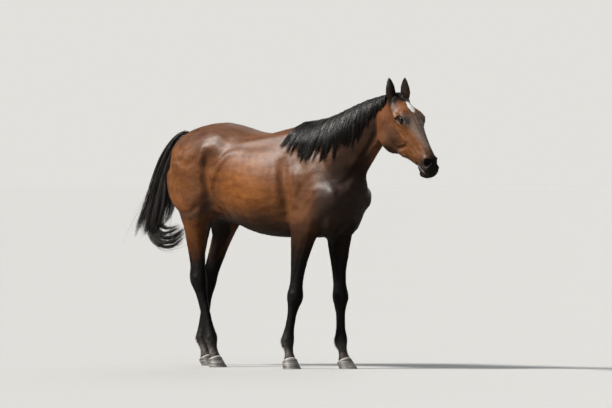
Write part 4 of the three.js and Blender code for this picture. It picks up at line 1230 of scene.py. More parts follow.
@dataclass
class Mane:
    """The mane, which lies on the right of the neck, from the withers to the poll."""

    skin: Skin
    start: float = 0.352
    end: float = 1.150
    fall: tuple = (0.105, 0.165, 0.215, 0.250, 0.270, 0.275, 0.268, 0.250, 0.205, 0.150, 0.100, 0.060)
    sweep: tuple = (0.075, 0.074, 0.064, 0.052, 0.044, 0.038, 0.034, 0.030, 0.026, 0.022, 0.016, 0.010)
    rows: int = 80
    columns: int = 18
    locks: int = 92
    strands: int = 5200

    def surface(self) -> tuple[np.ndarray, np.ndarray]:
        """The coat's surface under the mane, as grids of points and outward directions."""
        places = np.zeros((self.rows, self.columns, 3))
        outward = np.zeros((self.rows, self.columns, 3))
        tree = self.skin.tree
        for i, u in enumerate(np.linspace(0, 1, self.rows)):
            x0 = self.start + u * (self.end - self.start)
            fall = np.interp(u, np.linspace(0, 1, len(self.fall)), self.fall)
            sweep = np.interp(u, np.linspace(0, 1, len(self.sweep)), self.sweep)
            for j, v in enumerate(np.linspace(0, 1, self.columns)):
                x = x0 - v * sweep
                middle = 0.0 if x < 0.64 else -0.060 * (x - 0.64) / 0.52
                top = tree.ray_cast(Vector(from_mid((x, middle + 0.004, 2.2))), Vector((0, 0, -1)))[0]
                z = top.z - 0.001 - v * fall
                hit, normal, _, _ = tree.ray_cast(Vector(from_mid((x, -1.0, z))), Vector((0, 1, 0)))
                if hit is None or v < 0.03:
                    hit, normal = Vector((x - MID_TRUNK, middle - 0.002, top.z)), Vector((0, -0.5, 1))
                places[i, j], outward[i, j] = hit, normal.normalized()
        for _ in range(3):
            outward[1:-1, 1:-1] = unit(
                outward[1:-1, 1:-1] * 2 + outward[:-2, 1:-1] + outward[2:, 1:-1]
                + outward[1:-1, :-2] + outward[1:-1, 2:]
            )
        return places, outward

    def flow(self, u: np.ndarray, v: np.ndarray, lift: np.ndarray) -> tuple[np.ndarray, np.ndarray]:
        """Points over the coat at shares of the crest and of the fall, and their outward directions."""
        place = read_grid(self.places, u, np.minimum(v, 1))
        outward = read_grid(self.outward, u, np.minimum(v, 1))
        over = np.maximum(v - 1, 0)[..., None]
        edge = read_grid(self.places, u, np.ones_like(v)) - read_grid(self.places, u, np.full_like(v, 0.93))
        return place + over / 0.07 * edge + outward * lift[..., None], unit(outward)

    def build(self, finish: bpy.types.Material) -> list[bpy.types.Object]:
        """Makes the locks and the loose strands over them."""
        self.places, self.outward = self.surface()
        random = np.random.default_rng(SEED)
        return [self.build_locks(random, finish), self.build_strands(random, finish)]

    def build_locks(self, random: np.random.Generator, finish: bpy.types.Material) -> bpy.types.Object:
        """Broad flat locks in two layers that hide the upper neck under them."""
        steps, layers = 15, 2
        v = np.linspace(0, 1, steps)[None, :]
        u0 = np.tile(np.linspace(0.0, 0.97, self.locks), layers) + random.normal(0, 0.003, self.locks * layers)
        layer = np.repeat(np.arange(layers), self.locks)
        reach = random.uniform(0.42, 0.72, len(u0)) - 0.10 * (layer == 1)
        reach = reach * (0.75 + 0.25 * smoothstep(0.0, 0.12, u0)) * (1 - 0.35 * smoothstep(0.86, 0.97, u0))
        u = u0[:, None] + random.normal(0, 0.010, len(u0))[:, None] * v**2
        lift = (0.002 + 0.0045 * layer[:, None] + 0.003 * np.sin(math.pi * v)) + random.uniform(0, 0.002, (len(u0), 1))
        paths, out = self.flow(u, v * reach[:, None], lift)
        spacing = (self.end - self.start) / self.locks
        width = spacing * 1.2 * (1 - 0.93 * v**2.0) * random.uniform(0.85, 1.2, (len(u0), 1))
        thick = np.full_like(width, 0.0030) * (1 - 0.8 * v**2)
        mesh = Sweeps(paths, out, width, thick, sides=8).mesh("mane_locks", random.uniform(0.1, 0.45, len(u0)))
        return new_object("mane_locks", mesh, finish)

    def build_strands(self, random: np.random.Generator, finish: bpy.types.Material) -> bpy.types.Object:
        """Loose strands that gather into pointed locks of many lengths."""
        steps, bunches, streaks = 7, 88, 250
        v = np.linspace(0, 1, steps)[None, :]
        u0 = random.uniform(-0.006, 1.004, self.strands)
        bunch = np.clip(np.floor(u0 * bunches), 0, bunches - 1).astype(int)
        place = (np.arange(bunches) + 0.5 + random.uniform(-0.3, 0.3, bunches)) / bunches
        lean = random.normal(0, 0.016, bunches)
        longest = random.uniform(0.84, 1.26, bunches)
        centre = place[bunch]
        pull = random.uniform(0.00, 0.66, self.strands) * random.uniform(0.30, 1.00, bunches)[bunch]
        streak = np.clip(np.floor(u0 * streaks), 0, streaks - 1).astype(int)
        raised = random.uniform(0, 0.0085, streaks)[streak][:, None]
        tone = np.clip(random.beta(0.45, 1.4, streaks)[streak] * random.uniform(0.5, 1.5, self.strands), 0, 1)
        u = u0[:, None] + (centre - u0)[:, None] * pull[:, None] * v**1.3 + lean[bunch][:, None] * v**1.6
        u += random.normal(0, 0.0055, (self.strands, 1)) * v**1.5
        u += 0.0022 * np.sin(v * random.uniform(3, 9, (self.strands, 1)) + random.uniform(0, 6, (self.strands, 1)))
        away = np.abs(centre - u0) * bunches
        reach = longest[bunch] - 0.08 * away - random.exponential(0.20, self.strands)
        reach = np.clip(reach, 0.30, 1.20)
        lift = 0.0055 + random.uniform(0, 0.0070, (self.strands, 1)) * (0.4 + 0.6 * np.sin(math.pi * v * 0.9))
        lift += 0.0015 * np.sin(v * 9 + random.uniform(0, 6, (self.strands, 1))) + raised * np.sin(math.pi * v * 0.85)
        lift *= 1 - 0.5 * smoothstep(0.6, 1.0, v * reach[:, None])
        tuft = np.exp(-(((u0 - 0.035) / 0.035) ** 2))[:, None] * np.sin(math.pi * np.minimum(v * 1.6, 1))
        paths, out = self.flow(u, v * reach[:, None], lift + 0.012 * tuft)
        width = 0.0014 * (1 - 0.88 * v**1.5) * random.uniform(0.5, 1.3, (self.strands, 1))
        mesh = Sweeps(paths, out, width, width * 0.8).mesh("mane_strands", tone)
        return new_object("mane_strands", mesh, finish)


@dataclass
class Forelock:
    """A short forelock between the ears."""

    skin: Skin
    start: float = -0.016
    end: float = 0.088
    half: float = 0.040
    strands: int = 1000

    def build(self, finish: bpy.types.Material) -> bpy.types.Object:
        """Makes the strands."""
        random = np.random.default_rng(SEED + 1)
        steps = 8
        v = np.linspace(0, 1, steps)
        paths = np.zeros((self.strands, steps, 3))
        out = np.zeros_like(paths)
        axes = HEAD.axes
        down = Vector(-axes[:, 2])
        across = random.uniform(-1, 1, self.strands)
        reach = (1 - 0.35 * np.abs(across)) * random.uniform(0.55, 1.05, self.strands)
        lift = random.uniform(0.001, 0.013, self.strands)
        for k in range(self.strands):
            for j, t in enumerate(v):
                a = self.start + (self.end - self.start) * t * reach[k]
                b = across[k] * self.half * (1 - 0.62 * t) - 0.006 * t
                hit, normal, _, _ = self.skin.tree.ray_cast(Vector(HEAD.world((a, b, 0.25))), down)
                over = lift[k] * (0.35 + 0.65 * math.sin(math.pi * min(t * 1.1, 1)))
                paths[k, j] = hit + normal * (0.001 + over)
                out[k, j] = normal
        width = 0.0019 * (1 - 0.8 * v[None, :] ** 2) * random.uniform(0.7, 1.2, (self.strands, 1))
        mesh = Sweeps(paths, out, width, width * 0.8).mesh("forelock_strands", random.beta(1.6, 3, self.strands))
        return new_object("forelock_strands", mesh, finish)


@dataclass
class Tail:
    """The tail: hair that leaves the dock, hangs behind the buttocks, and in part swings forward at its end.

    Each path runs from the dock to a tip: how far ahead of mid-trunk, how far left and how high.
    """

    hanging: tuple = (
        ((-0.700, 0.000, 1.548), (-0.750, 0.000, 1.545), (-0.833, -0.016, 1.472), (-0.893, -0.035, 1.374),
         (-0.927, -0.054, 1.269), (-0.960, -0.074, 1.158), (-1.000, -0.095, 1.046), (-1.040, -0.116, 0.941),
         (-1.094, -0.118, 0.836)),
        ((-0.700, 0.000, 1.548), (-0.746, 0.000, 1.545), (-0.824, -0.016, 1.474), (-0.882, -0.035, 1.374),
         (-0.913, -0.054, 1.269), (-0.942, -0.074, 1.151), (-0.966, -0.095, 1.046), (-0.990, -0.116, 0.954),
         (-1.022, -0.118, 0.866)),
        ((-0.700, 0.000, 1.532), (-0.741, 0.000, 1.531), (-0.806, -0.016, 1.459), (-0.851, -0.035, 1.354),
         (-0.887, -0.054, 1.243), (-0.908, -0.074, 1.125), (-0.921, -0.095, 1.020), (-0.932, -0.116, 0.928),
         (-0.950, -0.118, 0.849)),
        ((-0.700, 0.000, 1.515), (-0.733, 0.000, 1.518), (-0.775, -0.016, 1.440), (-0.816, -0.035, 1.335),
         (-0.843, -0.054, 1.223), (-0.851, -0.074, 1.118), (-0.859, -0.095, 1.026), (-0.876, -0.116, 0.941),
         (-0.905, -0.118, 0.869)),
        ((-0.700, 0.000, 1.505), (-0.728, 0.000, 1.512), (-0.762, -0.016, 1.426), (-0.798, -0.035, 1.321),
         (-0.821, -0.054, 1.223), (-0.798, -0.074, 1.125), (-0.782, -0.095, 1.046), (-0.800, -0.116, 0.974),
         (-0.856, -0.118, 0.908)),
    )
    swinging: tuple = (
        ((-0.700, 0.000, 1.532), (-0.820, -0.011, 1.459), (-0.879, -0.023, 1.354), (-0.925, -0.037, 1.230),
         (-0.956, -0.050, 1.099), (-0.975, -0.064, 0.974), (-0.962, -0.078, 0.869), (-0.887, -0.093, 0.797),
         (-0.777, -0.108, 0.784), (-0.679, -0.118, 0.817), (-0.615, -0.122, 0.870)),
        ((-0.700, 0.000, 1.525), (-0.802, -0.011, 1.446), (-0.853, -0.023, 1.341), (-0.894, -0.037, 1.223),
         (-0.926, -0.050, 1.099), (-0.948, -0.064, 0.987), (-0.935, -0.078, 0.902), (-0.861, -0.093, 0.849),
         (-0.768, -0.108, 0.849), (-0.685, -0.118, 0.880), (-0.632, -0.120, 0.915)),
        ((-0.700, 0.000, 1.518), (-0.784, -0.011, 1.440), (-0.835, -0.023, 1.335), (-0.867, -0.037, 1.217),
         (-0.890, -0.050, 1.105), (-0.909, -0.064, 1.013), (-0.891, -0.078, 0.941), (-0.817, -0.093, 0.908),
         (-0.745, -0.108, 0.918), (-0.675, -0.118, 0.945)),
    )
    half: tuple = (0.018, 0.024, 0.028, 0.031, 0.035, 0.040, 0.044, 0.044, 0.040, 0.034)
    clumps: int = 84
    arcs: int = 4  # the separate curls that swing forward
    locks: int = 150
    strands: int = 2700
    samples: int = 60

    def build(self, finish: bpy.types.Material) -> list[bpy.types.Object]:
        """Makes the inner locks and the strands over them."""
        random = np.random.default_rng(SEED + 2)
        self.prepare(random)
        return [
            self.bundle(random, "tail_locks", self.locks, 26, 6, 0.0078, 0.60, finish),
            self.bundle(random, "tail_strands", self.strands, 12, 3, 0.0019, 1.00, finish),
            self.bundle(random, "tail_wisps", self.strands // 2, 12, 3, 0.0010, 1.12, finish),
        ]

    def prepare(self, random: np.random.Generator) -> None:
        """Chooses a middle line for each clump of hair."""
        hanging = np.stack([curve_through(path, self.samples) for path in self.hanging])
        swinging = np.stack([curve_through(path, self.samples) for path in self.swinging])
        share = random.uniform(size=self.clumps)
        place = random.uniform(1.0, 3.0, self.clumps)
        place = np.where(share < 0.10, random.uniform(0.0, 1.0, self.clumps), place)
        place = np.where(share > 0.90, random.uniform(3.0, 4.0, self.clumps), place)
        swings = random.uniform(size=self.clumps) < 0.34
        lines = np.zeros((self.clumps, self.samples, 3))
        for i in range(self.clumps):
            arc = random.integers(0, self.arcs + 1) * 2 / self.arcs
            family, at = (swinging, arc) if swings[i] else (hanging, place[i])
            k = min(int(at), len(family) - 2)
            lines[i] = family[k] * (k + 1 - at) + family[k + 1] * (at - k)
        self.wide = np.interp(np.linspace(0, 1, self.samples), np.linspace(0, 1, len(self.half)), self.half)
        angle = random.uniform(0, 2 * math.pi, self.clumps)
        radius = np.sqrt(random.uniform(0, 1, self.clumps)) * np.where(swings, 0.55, 1.0)
        lines[:, :, 1] += (radius * np.sin(angle))[:, None] * self.wide
        lines[:, :, 0] += 0.30 * (radius * np.cos(angle))[:, None] * self.wide
        self.lines = from_mid(lines)
        self.angle = angle
        self.ends = np.clip(1.02 - random.exponential(0.07, self.clumps), 0.72, 1.0)

    def bundle(self, random: np.random.Generator, name: str, count: int, steps: int, sides: int,
               radius: float, fill: float, finish: bpy.types.Material) -> bpy.types.Object:
        """One layer of hair.

        Args:
            random: Where chance comes from.
            name: The piece's name.
            count: How many tubes.
            steps: How many points on each.
            sides: How many sides each has.
            radius: Half its width.
            fill: How far from its clump's middle it lies.
            finish: Its material.

        Returns:
            The piece.
        """
        v = np.linspace(0, 1, steps)[None, :]
        clump = random.integers(0, self.clumps, count)
        start = random.uniform(0.0, 0.28, (count, 1)) * random.integers(0, 2, (count, 1))
        reach = self.ends[clump][:, None] - random.exponential(0.09, (count, 1))
        reach = np.where(random.uniform(size=(count, 1)) < 0.2, random.uniform(0.5, 0.9, (count, 1)), reach)
        t = start + (np.maximum(reach, start + 0.35) - start) * v
        middle = read_grid(self.lines.transpose(1, 0, 2), t, np.repeat(clump[:, None], steps, 1) / (self.clumps - 1))
        wide = np.interp(t, np.linspace(0, 1, self.samples), self.wide)
        angle = random.uniform(0, 2 * math.pi, (count, 1)) + 0.6 * np.sin(5 * t + clump[:, None])
        share = np.sqrt(random.uniform(0.04, 1, (count, 1))) * fill * (0.62 - 0.44 * smoothstep(0.35, 1.0, t))
        around = np.stack((np.cos(angle) * 0.75, np.sin(angle), np.zeros_like(angle)), 2)
        stray = random.normal(0, 1, (count, 1, 3)) * (smoothstep(0.35, 1.0, t) ** 2)[..., None] * 0.011
        loose = random.uniform(size=(count, 1, 1)) < 0.12
        paths = middle + around * (wide * share)[..., None] + stray * (0.6 + 2.6 * loose)
        width = radius * (1 - 0.88 * v**2) * random.uniform(0.7, 1.25, (count, 1))
        width = width * (0.5 + 0.5 * smoothstep(0, 0.12, v))
        mesh = Sweeps(paths, around + (-0.3, 0, 0.3), width, width * 0.7, sides).mesh(name, random.beta(1.5, 1.3, count))
        return new_object(name, mesh, finish)


# ------------------------------------------------------------------ ears, eyes and hooves


@dataclass
class Ear:
    """A rolled leaf of skin that opens to one side."""

    side: int
    opening: float
    root: tuple = (0.034, 0.054, -0.026)
    length: float = 0.146
    lean: float = 0.06
    back: float = -0.09
    wall: float = 0.0032

    @property
    def matrix(self) -> np.ndarray:
        """The ear's own axes and root: across, up and out of its opening."""
        root = HEAD.world((self.root[0], self.side * self.root[1], self.root[2]))
        up = unit(np.array((self.back, self.side * self.lean, 1.0)))
        turn = math.radians(self.opening)
        out = np.array((math.cos(turn), math.sin(turn), 0.0))
        out = unit(out - up * (out @ up))
        made = np.eye(4)
        made[:3, 0], made[:3, 1], made[:3, 2], made[:3, 3] = np.cross(up, out), up, out, root
        return made

    def shape(self, across: np.ndarray, up: np.ndarray) -> np.ndarray:
        """Points of the leaf.

        Args:
            across: From -1 at one rim to 1 at the other.
            up: From 0 at the root to 1 at the tip.

        Returns:
            The points in the ear's own axes.
        """
        shares = (-0.12, 0.0, 0.12, 0.35, 0.60, 0.80, 0.92, 1.0)
        half = np.interp(up, shares, (0.021, 0.0225, 0.0265, 0.0310, 0.0280, 0.0195, 0.0110, 0.0010))
        roll = np.interp(up, shares, np.radians((175, 170, 140, 112, 96, 84, 70, 50)))
        radius = half / np.sin(np.minimum(roll, math.pi / 2))
        angle = roll * across
        x = radius * np.sin(angle)
        depth = radius * (1 - np.cos(angle)) - np.interp(up, shares, (0.020, 0.021, 0.021, 0.020, 0.017, 0.011, 0.006, 0.001))
        bend = 0.012 * (up - 0.35) ** 2 * 2.2 * smoothstep(0.3, 1.0, up)
        return np.stack((x, up * self.length, depth + bend), 1)

    def build(self) -> bpy.types.Object:
        """Makes the ear's shell, with its wall."""
        bm = bmesh.new()
        bmesh.ops.create_grid(bm, x_segments=16, y_segments=22, size=1.0)
        flat = np.array([v.co[:] for v in bm.verts])
        shaped = self.shape(flat[:, 0], (flat[:, 1] + 1) / 2 * 1.12 - 0.12)
        placed = shaped @ self.matrix[:3, :3].T + self.matrix[:3, 3]
        for vert, place in zip(bm.verts, placed):
            vert.co = place
        mesh = bpy.data.meshes.new("ear")
        bm.to_mesh(mesh)
        bm.free()
        made = new_object("ear", mesh)
        wall = made.modifiers.new("wall", "SOLIDIFY")
        wall.thickness = self.wall
        wall.offset = 0
        round_off = made.modifiers.new("round", "SUBSURF")
        round_off.levels = round_off.render_levels = 1
        return made

    def inside(self, points: np.ndarray) -> np.ndarray:
        """How far each point lies on the inner side of the shell, from 0 to 1."""
        local = (points - self.matrix[:3, 3]) @ self.matrix[:3, :3]
        up = local[:, 1] / self.length
        shares = np.linspace(-1, 1, 41)
        best = np.full(len(points), np.inf)
        side = np.zeros(len(points))
        for share in shares:
            leaf = self.shape(np.full(len(points), share), up)
            gap = local - leaf
            centre = np.stack((np.zeros(len(points)), local[:, 1], leaf[:, 2] * 0 + 0.004), 1)
            distance = np.linalg.norm(gap, axis=1)
            inward = np.sum(gap * unit(centre - leaf), axis=1)
            closer = distance < best
            best[closer], side[closer] = distance[closer], inward[closer]
        return smoothstep(-0.0004, 0.0008, side) * smoothstep(0.02, 0.15, up)


@dataclass
class Eyeball:
    """A wet eye with a bulging front."""

    name: str
    side: int

    def build(self, finish: bpy.types.Material) -> bpy.types.Object:
        """Makes the eyeball."""
        eye = Eye()
        bm = bmesh.new()
        bmesh.ops.create_uvsphere(bm, u_segments=48, v_segments=32, radius=eye.radius)
        bmesh.ops.rotate(bm, verts=bm.verts, matrix=Matrix.Rotation(-math.pi / 2, 3, "X"))
        local = np.array([v.co[:] for v in bm.verts])
        front = np.clip(local[:, 1] / eye.radius, 0, 1)
        local[:, 1] += 0.0008 * front**6
        ring = np.hypot(local[:, 0], local[:, 2]) / 0.0155 + (front <= 0) * 2
        c, s = math.cos(eye.slant), math.sin(eye.slant)
        u, v = local[:, 0] * c + local[:, 2] * s, local[:, 2] * c - local[:, 0] * s
        pupil = (np.abs(u / 0.0085) ** 2.6 + np.abs(v / 0.0042) ** 2.6) ** (1 / 2.6) + (front <= 0) * 4
        placed = HEAD.world((local + eye.place) * (1, self.side, 1))
        for vert, place in zip(bm.verts, placed):
            vert.co = place
        if self.side < 0:
            bmesh.ops.reverse_faces(bm, faces=bm.faces)
        mesh = bpy.data.meshes.new(self.name)
        bm.to_mesh(mesh)
        bm.free()
        mark(mesh, {"ring": ring, "pupil": pupil})
        mesh.shade_smooth()
        made = new_object(self.name.replace("eye", "eyeball"), mesh, finish)
        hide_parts(self.name)
        return made


@dataclass
class Hoof:
    """One hoof: a wall that slopes forward, with rings, a rounded edge and two heels."""

    leg: Leg
    coronet: tuple = (0.034, 0.052, 0.043, 0.048, 0.017)  # back, height, half length, half width, rise
    sole: tuple = (0.066, 0.054, 0.060)  # toe, heel, half width
    above: float = 0.10

    def build(self, finish: bpy.types.Material) -> bpy.types.Object:
        """Makes the hoof."""
        bm = bmesh.new()
        bmesh.ops.create_cone(bm, cap_ends=True, segments=56, radius1=1, radius2=1, depth=1)
        walls = [e for e in bm.edges if abs(e.verts[0].co.z - e.verts[1].co.z) > 0.5]
        bmesh.ops.subdivide_edges(bm, edges=walls, cuts=16)
        caps = [f for f in bm.faces if abs(f.normal.z) > 0.9]
        for depth in (0.12, 0.5):
            bmesh.ops.inset_region(bm, faces=caps, thickness=depth, use_boundary=True)
        flat = np.array([v.co[:] for v in bm.verts])
        placed = self.shape(flat)
        matrix = self.leg.hoof_matrix
        for vert, place in zip(bm.verts, placed):
            vert.co = matrix @ Vector(place)
        bmesh.ops.recalc_face_normals(bm, faces=bm.faces)
        mesh = bpy.data.meshes.new("hoof")
        bm.to_mesh(mesh)
        bm.free()
        mark(mesh, {"up": flat[:, 2] + 0.5})
        mesh.shade_smooth()
        made = new_object(f"hoof_wall_{self.leg.name}", mesh, finish)
        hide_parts(f"hoof_{self.leg.name}")
        return made

    def shape(self, flat: np.ndarray) -> np.ndarray:
        """Turns a plain drum of radius and height 1 into the hoof."""
        back, height, length, width, rise = self.coronet
        toe, heel, half = self.sole
        up = (flat[:, 2] + 0.5) * (1 + self.above)
        radius = np.hypot(flat[:, 0], flat[:, 1])
        forward, across = flat[:, 0], flat[:, 1]
        ground = np.stack((forward * np.where(forward > 0, toe, heel), across * half, 0 * up), 1)
        top = np.stack((forward * length - back, across * width, height + rise * forward), 1)
        made = ground + (top - ground) * up[:, None]
        angle = np.arctan2(across, -forward)
        cleft = np.exp(-((angle / 0.20) ** 2)) * radius
        made[:, 0] += 0.014 * cleft * (1 - 0.4 * up)
        bulbs = np.exp(-(((np.abs(angle) - 0.55) / 0.30) ** 2)) * radius * np.exp(-(((up - 0.72) / 0.25) ** 2))
        made[:, 0] -= 0.004 * bulbs
        rings = 0.00045 * np.sin(up * 46 + 2.0 * forward) * radius
        band = 0.0016 * np.exp(-(((up - 0.93) / 0.05) ** 2)) * radius
        edge = -0.0022 * np.exp(-((up / 0.03) ** 2)) * (radius > 0.95)
        outward = unit(np.stack((forward, across, 0 * up), 1) + 1e-9)
        made += outward * (rings + band + edge)[:, None]
        arch = (up < 1e-4) * np.clip(1 - radius / 0.9, 0, 1)
        made[:, 2] += 0.006 * arch
        made[:, :2] *= np.where(up > 1.0, 1 - 0.9 * (up - 1.0), 1)[:, None]
        return made


# ------------------------------------------------------------------ short coat


def lie_of_coat(points: np.ndarray, normals: np.ndarray) -> np.ndarray:
    """Which way the hair lies at each point: back and down the body, down the legs, and down the face.

    Args:
        points: Points on the skin.
        normals: The skin's outward directions there.

    Returns:
        Directions along the skin.
    """
    p, local = to_mid(points), HEAD.local(points)
    head, _ = Skin.regions(points)
    leg = 1 - smoothstep(0.85, 1.05, p[:, 2])
    swirl = wobble(points, 0.9)
    body = np.stack((-0.85 + 0 * swirl, 0.10 * swirl, -0.42 + 0.22 * swirl), 1)
    haunch = smoothstep(-0.30, -0.55, p[:, 0])[:, None]
    body = body * (1 - haunch) + np.array((-0.35, 0.0, -0.95)) * haunch
    down = np.array((-0.12, 0.0, -1.0))
    way = body * (1 - leg)[:, None] + down * leg[:, None]
    above = smoothstep(0.14, 0.05, local[:, 0])[:, None]
    face = HEAD.axes[:, 0] * (1 - 2 * above) - HEAD.axes[:, 2] * 0.35
    way = way * (1 - head)[:, None] + face * head[:, None]
    way = way - normals * np.sum(way * normals, axis=1, keepdims=True)
    return unit(way)


@dataclass
class Roots:
    """Places on the skin that hair grows from."""

    place: np.ndarray
    normal: np.ndarray
    marks: dict

    def only(self, chosen: np.ndarray) -> "Roots":
        """The roots that a mask or an index picks."""
        marks = {key: values[chosen] for key, values in self.marks.items()}
        return Roots(self.place[chosen], self.normal[chosen], marks)


@dataclass
class Coat:
    """Short tufts that lie over the skin, and longer trimmings where the coat breaks the outline."""

    skin: bpy.types.Object
    ears: list
    tufts: int = 46000
    random: np.random.Generator = field(default_factory=lambda: np.random.default_rng(SEED + 3))

    def __post_init__(self) -> None:
        """Reads the skin's triangles."""
        mesh = self.skin.data
        mesh.calc_loop_triangles()
        corners = np.empty(len(mesh.loop_triangles) * 3, np.int32)
        mesh.loop_triangles.foreach_get("vertices", corners)
        self.corners = corners.reshape(-1, 3)
        surface = Surface(mesh)
        self.points, self.normals = surface.co, surface.normals()
        self.marks = {}
        for key in MARKS:
            self.marks[key] = np.empty(len(mesh.vertices), np.float32)
            mesh.attributes[key].data.foreach_get("value", self.marks[key])
        a, b, c = (self.points[self.corners[:, i]] for i in range(3))
        self.area = np.linalg.norm(np.cross(b - a, c - a), axis=1) / 2
        self.middle = (a + b + c) / 3

    def grow(self, count: int, weight: np.ndarray) -> Roots:
        """Picks roots by chance.

        Args:
            count: How many.
            weight: How thickly each triangle is covered.

        Returns:
            The roots.
        """
        chance = self.area * weight
        picked = self.random.choice(len(chance), count, p=chance / chance.sum())
        share = self.random.dirichlet((1, 1, 1), count)
        corners = self.corners[picked]
        return Roots(
            (self.points[corners] * share[:, :, None]).sum(1),
            unit((self.normals[corners] * share[:, :, None]).sum(1)),
            {key: (values[corners] * share).sum(1) for key, values in self.marks.items()},
        )

    def regions(self) -> dict[str, np.ndarray]:
        """How thickly each part's tufts cover each triangle."""
        head, _ = Skin.regions(self.middle)
        p = to_mid(self.middle)
        leg = 1 - smoothstep(0.80, 0.95, p[:, 2])
        front = smoothstep(0.05, 0.15, p[:, 0])
        body = (1 - head) * (1 - leg)
        return {
            "coat_head": head * 1.0,
            "coat_forehand": body * front + 1e-9,
            "coat_hindquarters": body * (1 - front) + 1e-9,
            "coat_legs": leg + 1e-9,
        }

    def build(self, finish: bpy.types.Material) -> list[bpy.types.Object]:
        """Makes each part's tufts."""
        made = []
        for name, weight in self.regions().items():
            roots = self.clear(self.grow(self.tufts, weight))
            made.append(self.lay(name, roots, finish))
        return made

    @staticmethod
    def clear(roots: Roots) -> Roots:
        """Leaves out roots inside the eyes, nostrils, mouth and under the soles."""
        local = HEAD.local(roots.place)
        local[:, 1] = np.abs(local[:, 1])
        eye, nostril = Eye(), Nostril()
        ok = eye.beyond(local) > 0.0035
        ok |= np.hypot(local[:, 0] - eye.place[0], local[:, 2] - eye.place[2]) > 0.06
        nose = np.hypot(local[:, 0] - nostril.place[0], local[:, 2] - nostril.place[1]) > 0.027
        lips, _ = near_path(local[:, [0, 2]], np.array(MOUTH))
        return roots.only(ok & nose & (lips > 0.007) & (roots.place[:, 2] > 0.058))

    def lay(self, name: str, roots: Roots, finish: bpy.types.Material) -> bpy.types.Object:
        """Lays one flat closed spike at each root.

        Args:
            name: The piece's name.
            roots: Where the tufts grow.
            finish: The coat's material.

        Returns:
            The piece.
        """
        count = len(roots.place)
        head, _ = Skin.regions(roots.place)
        local = HEAD.local(roots.place)
        p = to_mid(roots.place)
        muzzle = smoothstep(0.38, 0.55, local[:, 0]) * head
        size = 1 - 0.52 * head - 0.22 * muzzle - 0.30 * (1 - smoothstep(0.10, 0.75, p[:, 2]))
        length = 0.0135 * size * self.random.uniform(0.7, 1.3, count)
        width = 0.0011 * (0.55 + 0.45 * size) * self.random.uniform(0.8, 1.2, count)
        way = lie_of_coat(roots.place, roots.normal)
        side = np.cross(roots.normal, way)
        way = unit(way + side * self.random.normal(0, 0.10, count)[:, None])
        side = np.cross(roots.normal, way)
        rise = length * self.random.uniform(0.04, 0.13, count)
        foot = roots.place - roots.normal * 0.0004
        left = foot - side * width[:, None]
        right = foot + side * width[:, None]
        ridge = foot + roots.normal * 0.0008 + way * (length * 0.25)[:, None]
        tip = roots.place + way * length[:, None] + roots.normal * rise[:, None]
        points = np.stack((left, right, ridge, tip), 1).reshape(-1, 3)
        first = np.arange(count)[:, None, None] * 4
        faces = (first + np.array(((0, 2, 1), (1, 2, 3), (3, 2, 0), (0, 1, 3)))[None]).reshape(-1, 3)
        mesh = mesh_of(name, points, faces)
        mark(mesh, {key: np.repeat(values, 4) for key, values in roots.marks.items()})
        corner = np.array(((-0.5, -0.5), (0.5, -0.5), (0.0, 0.0), (0.0, 0.5))) * 0.003
        bake_map(mesh, np.repeat(unwrap(roots.place), 4, axis=0) + np.tile(corner, (count, 1)))
        soft = unit(roots.normal + way * self.random.normal(0, 0.10, (count, 1)))
        mesh.normals_split_custom_set_from_vertices(np.repeat(soft, 4, axis=0).tolist())
        made = new_object(name, mesh, finish)
        return made

    def trimmings(self, finish: bpy.types.Material) -> bpy.types.Object:
        """Longer hair at the fetlocks, coronets, jaw, belly, flanks, elbows and ears, all in one piece."""
        p = to_mid(self.middle)
        local = HEAD.local(self.middle)
        head, _ = Skin.regions(self.middle)
        facing = unit(np.cross(
            self.points[self.corners[:, 1]] - self.points[self.corners[:, 0]],
            self.points[self.corners[:, 2]] - self.points[self.corners[:, 0]],
        ))
        height = p[:, 2]
        bunches = []
        fetlock = np.exp(-(((height - 0.165) / 0.035) ** 2)) * np.clip(-facing[:, 0] - 0.2, 0, 1)
        bunches.append((900, fetlock, 0.030, 0.35, (-0.55, 0, -1.0)))
        coronet = np.exp(-(((height - 0.066) / 0.012) ** 2))
        bunches.append((1500, coronet, 0.015, 0.16, (0, 0, -1.0)))
        tendon = np.clip(-facing[:, 0] - 0.55, 0, 1) * (height > 0.20) * (height < 0.44)
        bunches.append((700, tendon, 0.013, 0.20, (-0.3, 0, -1.0)))
        jaw = head * smoothstep(-0.14, -0.20, local[:, 2]) * np.clip(-facing[:, 2], 0, 1) * (local[:, 0] < 0.52)
        bunches.append((900, jaw, 0.013, 0.32, (-0.5, 0, -0.7)))
        belly = np.clip(-facing[:, 2] - 0.6, 0, 1) * (height > 0.80) * (np.abs(p[:, 1]) < 0.14) * (np.abs(p[:, 0]) < 0.7)
        bunches.append((1300, belly, 0.017, 0.22, (-0.8, 0, -0.5)))
        flank = np.exp(-(((p[:, 0] + 0.31) / 0.06) ** 2 + ((height - 1.02) / 0.10) ** 2)) * (np.abs(p[:, 1]) > 0.1)
        elbow = np.exp(-(((p[:, 0] - 0.37) / 0.05) ** 2 + ((height - 0.92) / 0.07) ** 2))
        bunches.append((800, flank + elbow, 0.017, 0.22, (-0.6, 0, -0.9)))
        buttock = np.clip(-facing[:, 0] - 0.5, 0, 1) * (height > 0.85) * (height < 1.35) * (p[:, 0] < -0.45)
        bunches.append((900, buttock, 0.016, 0.18, (-0.1, 0, -1.0)))
        chest = np.clip(facing[:, 0] - 0.5, 0, 1) * (height > 0.85) * (height < 1.3) * (np.abs(p[:, 1]) < 0.12)
        bunches.append((700, chest * (1 - head), 0.014, 0.16, (0.1, 0, -1.0)))
        parts = [self.bunch(*bunch) for bunch in bunches]
        parts += [self.ear_hair(ear) for ear in self.ears]
        return self.gather("coat_trimmings", parts, finish, 0.00075)

